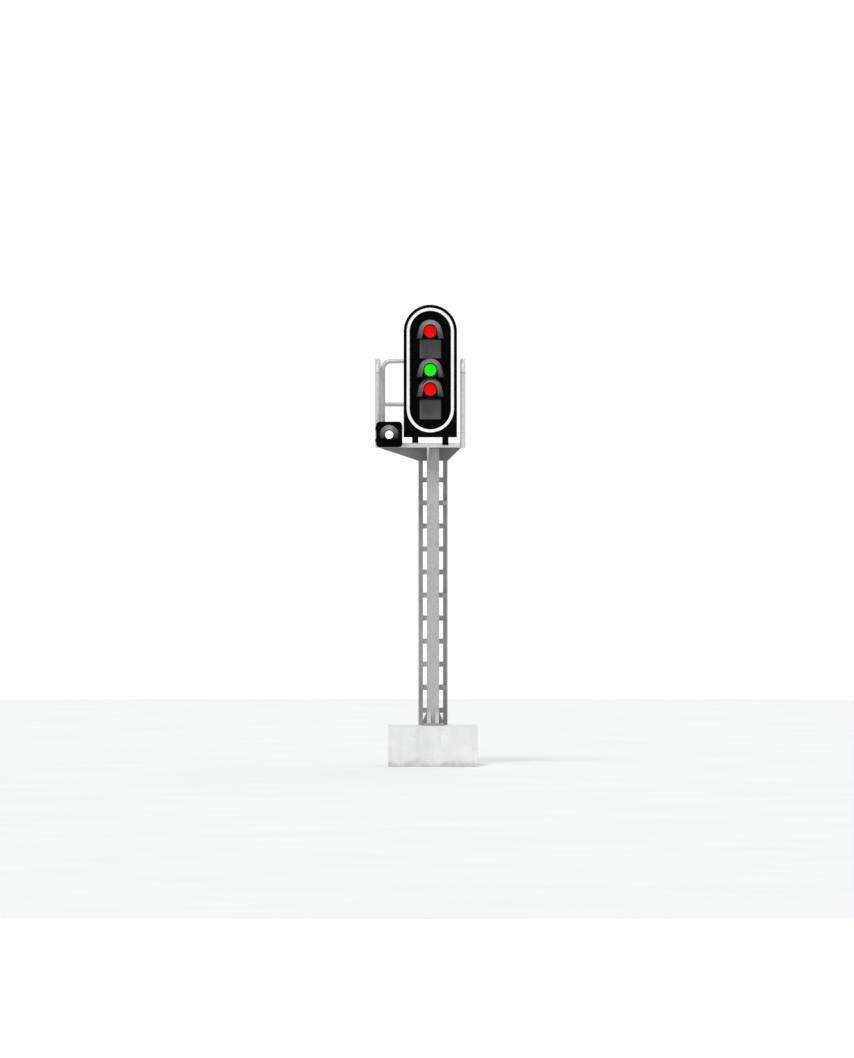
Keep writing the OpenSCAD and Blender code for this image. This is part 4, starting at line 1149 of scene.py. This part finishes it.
def half_rib(bm, start, end, radius, proud):
    """A pressed rib with round ends on the door's rear face, between two points in X and Z."""
    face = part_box("casing_door")[1].y
    along = (Vector(end) - Vector(start)).normalized()
    across = Vector((-along.y, along.x))
    outline = []
    for middle, first in ((Vector(end), -90), (Vector(start), 90)):
        for k in range(RIB_TURNS + 1):
            turn = math.radians(first + 180 * k / RIB_TURNS)
            outline.append((middle, along * math.cos(turn) + across * math.sin(turn)))
    levels = [(1.0, -0.0005), (1.0, 0.0), (0.86, 0.45), (0.62, 0.85), (0.36, 1.0)]
    rings = []
    for share, rise in levels:
        y = face + (proud * rise if rise > 0 else rise)
        rings.append([
            bm.verts.new((m.x + d.x * radius * share, y, m.y + d.y * radius * share))
            for m, d in outline
        ])
    count = len(outline)
    for a, b in zip(rings, rings[1:]):
        for k in range(count):
            n = (k + 1) % count
            bm.faces.new((a[k], a[n], b[n], b[k]))
    bm.faces.new(rings[-1])
    bm.faces.new(list(reversed(rings[0])))


def door_ribs():
    bm = bmesh.new()
    low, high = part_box("casing_door")
    right = high.x
    left = right - 2 * CASE_RADIUS
    centre = (left + right) / 2
    arc_z = high.z - CASE_RADIUS
    bar_z = arc_z + BAR_RISE
    for offset in RIB_OFFSETS:
        x = centre + offset
        half_rib(bm, (x, low.z + 0.10), (x, arc_z - 0.06), RIB_RADIUS, RIB_PROUD)
    half_rib(bm, (centre - BAR_REACH, bar_z), (centre + BAR_REACH, bar_z), RIB_RADIUS, RIB_PROUD)
    piece("door_ribs", bm, "panel_black", "casing_door")


def rain_strip():
    """A bent strip over the top of the casing's door, fixed to the casing."""
    bm = bmesh.new()
    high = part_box("head_casing")[1]
    centre = high.x - CASE_RADIUS
    arc_z = high.z - CASE_RADIUS
    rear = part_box("casing_rim")[1].y
    section = [
        (0.0002, rear - 0.030), (0.0028, rear - 0.030), (0.0068, rear + 0.018),
        (0.0062, rear + 0.024), (0.0040, rear + 0.024), (0.0044, rear + 0.018),
        (0.0006, rear - 0.010),
    ]
    steps = 40
    rings = []
    for k in range(steps + 1):
        turn = math.radians(50 + 80 * k / steps)
        side, up = math.cos(turn), math.sin(turn)
        rings.append([
            bm.verts.new((centre + (CASE_RADIUS + out) * side, y, arc_z + (CASE_RADIUS + out) * up))
            for out, y in section
        ])
    count = len(section)
    for a, b in zip(rings, rings[1:]):
        for k in range(count):
            n = (k + 1) % count
            bm.faces.new((a[k], a[n], b[n], b[k]))
    bm.faces.new(rings[0])
    bm.faces.new(list(reversed(rings[-1])))
    piece("rain_strip", bm, "panel_black", "signal")


door_ribs()
rain_strip()

# ---- Floor ----

FLOOR_RINGS = (3.0, 12.0)
FLOOR_SIDES = 64


def make_floor():
    bm = bmesh.new()
    profile = [(radius, 0.0) for radius in (0.0, *FLOOR_RINGS, FLOOR_RADIUS)]
    lathe(bm, profile, (0, 0, 0), UP, FLOOR_SIDES)
    mesh = bpy.data.meshes.new("floor")
    bm.to_mesh(mesh)
    bm.free()
    floor = bpy.data.objects.new("floor", mesh)
    floor.data.materials.append(floor_look())
    scene.collection.objects.link(floor)


make_floor()
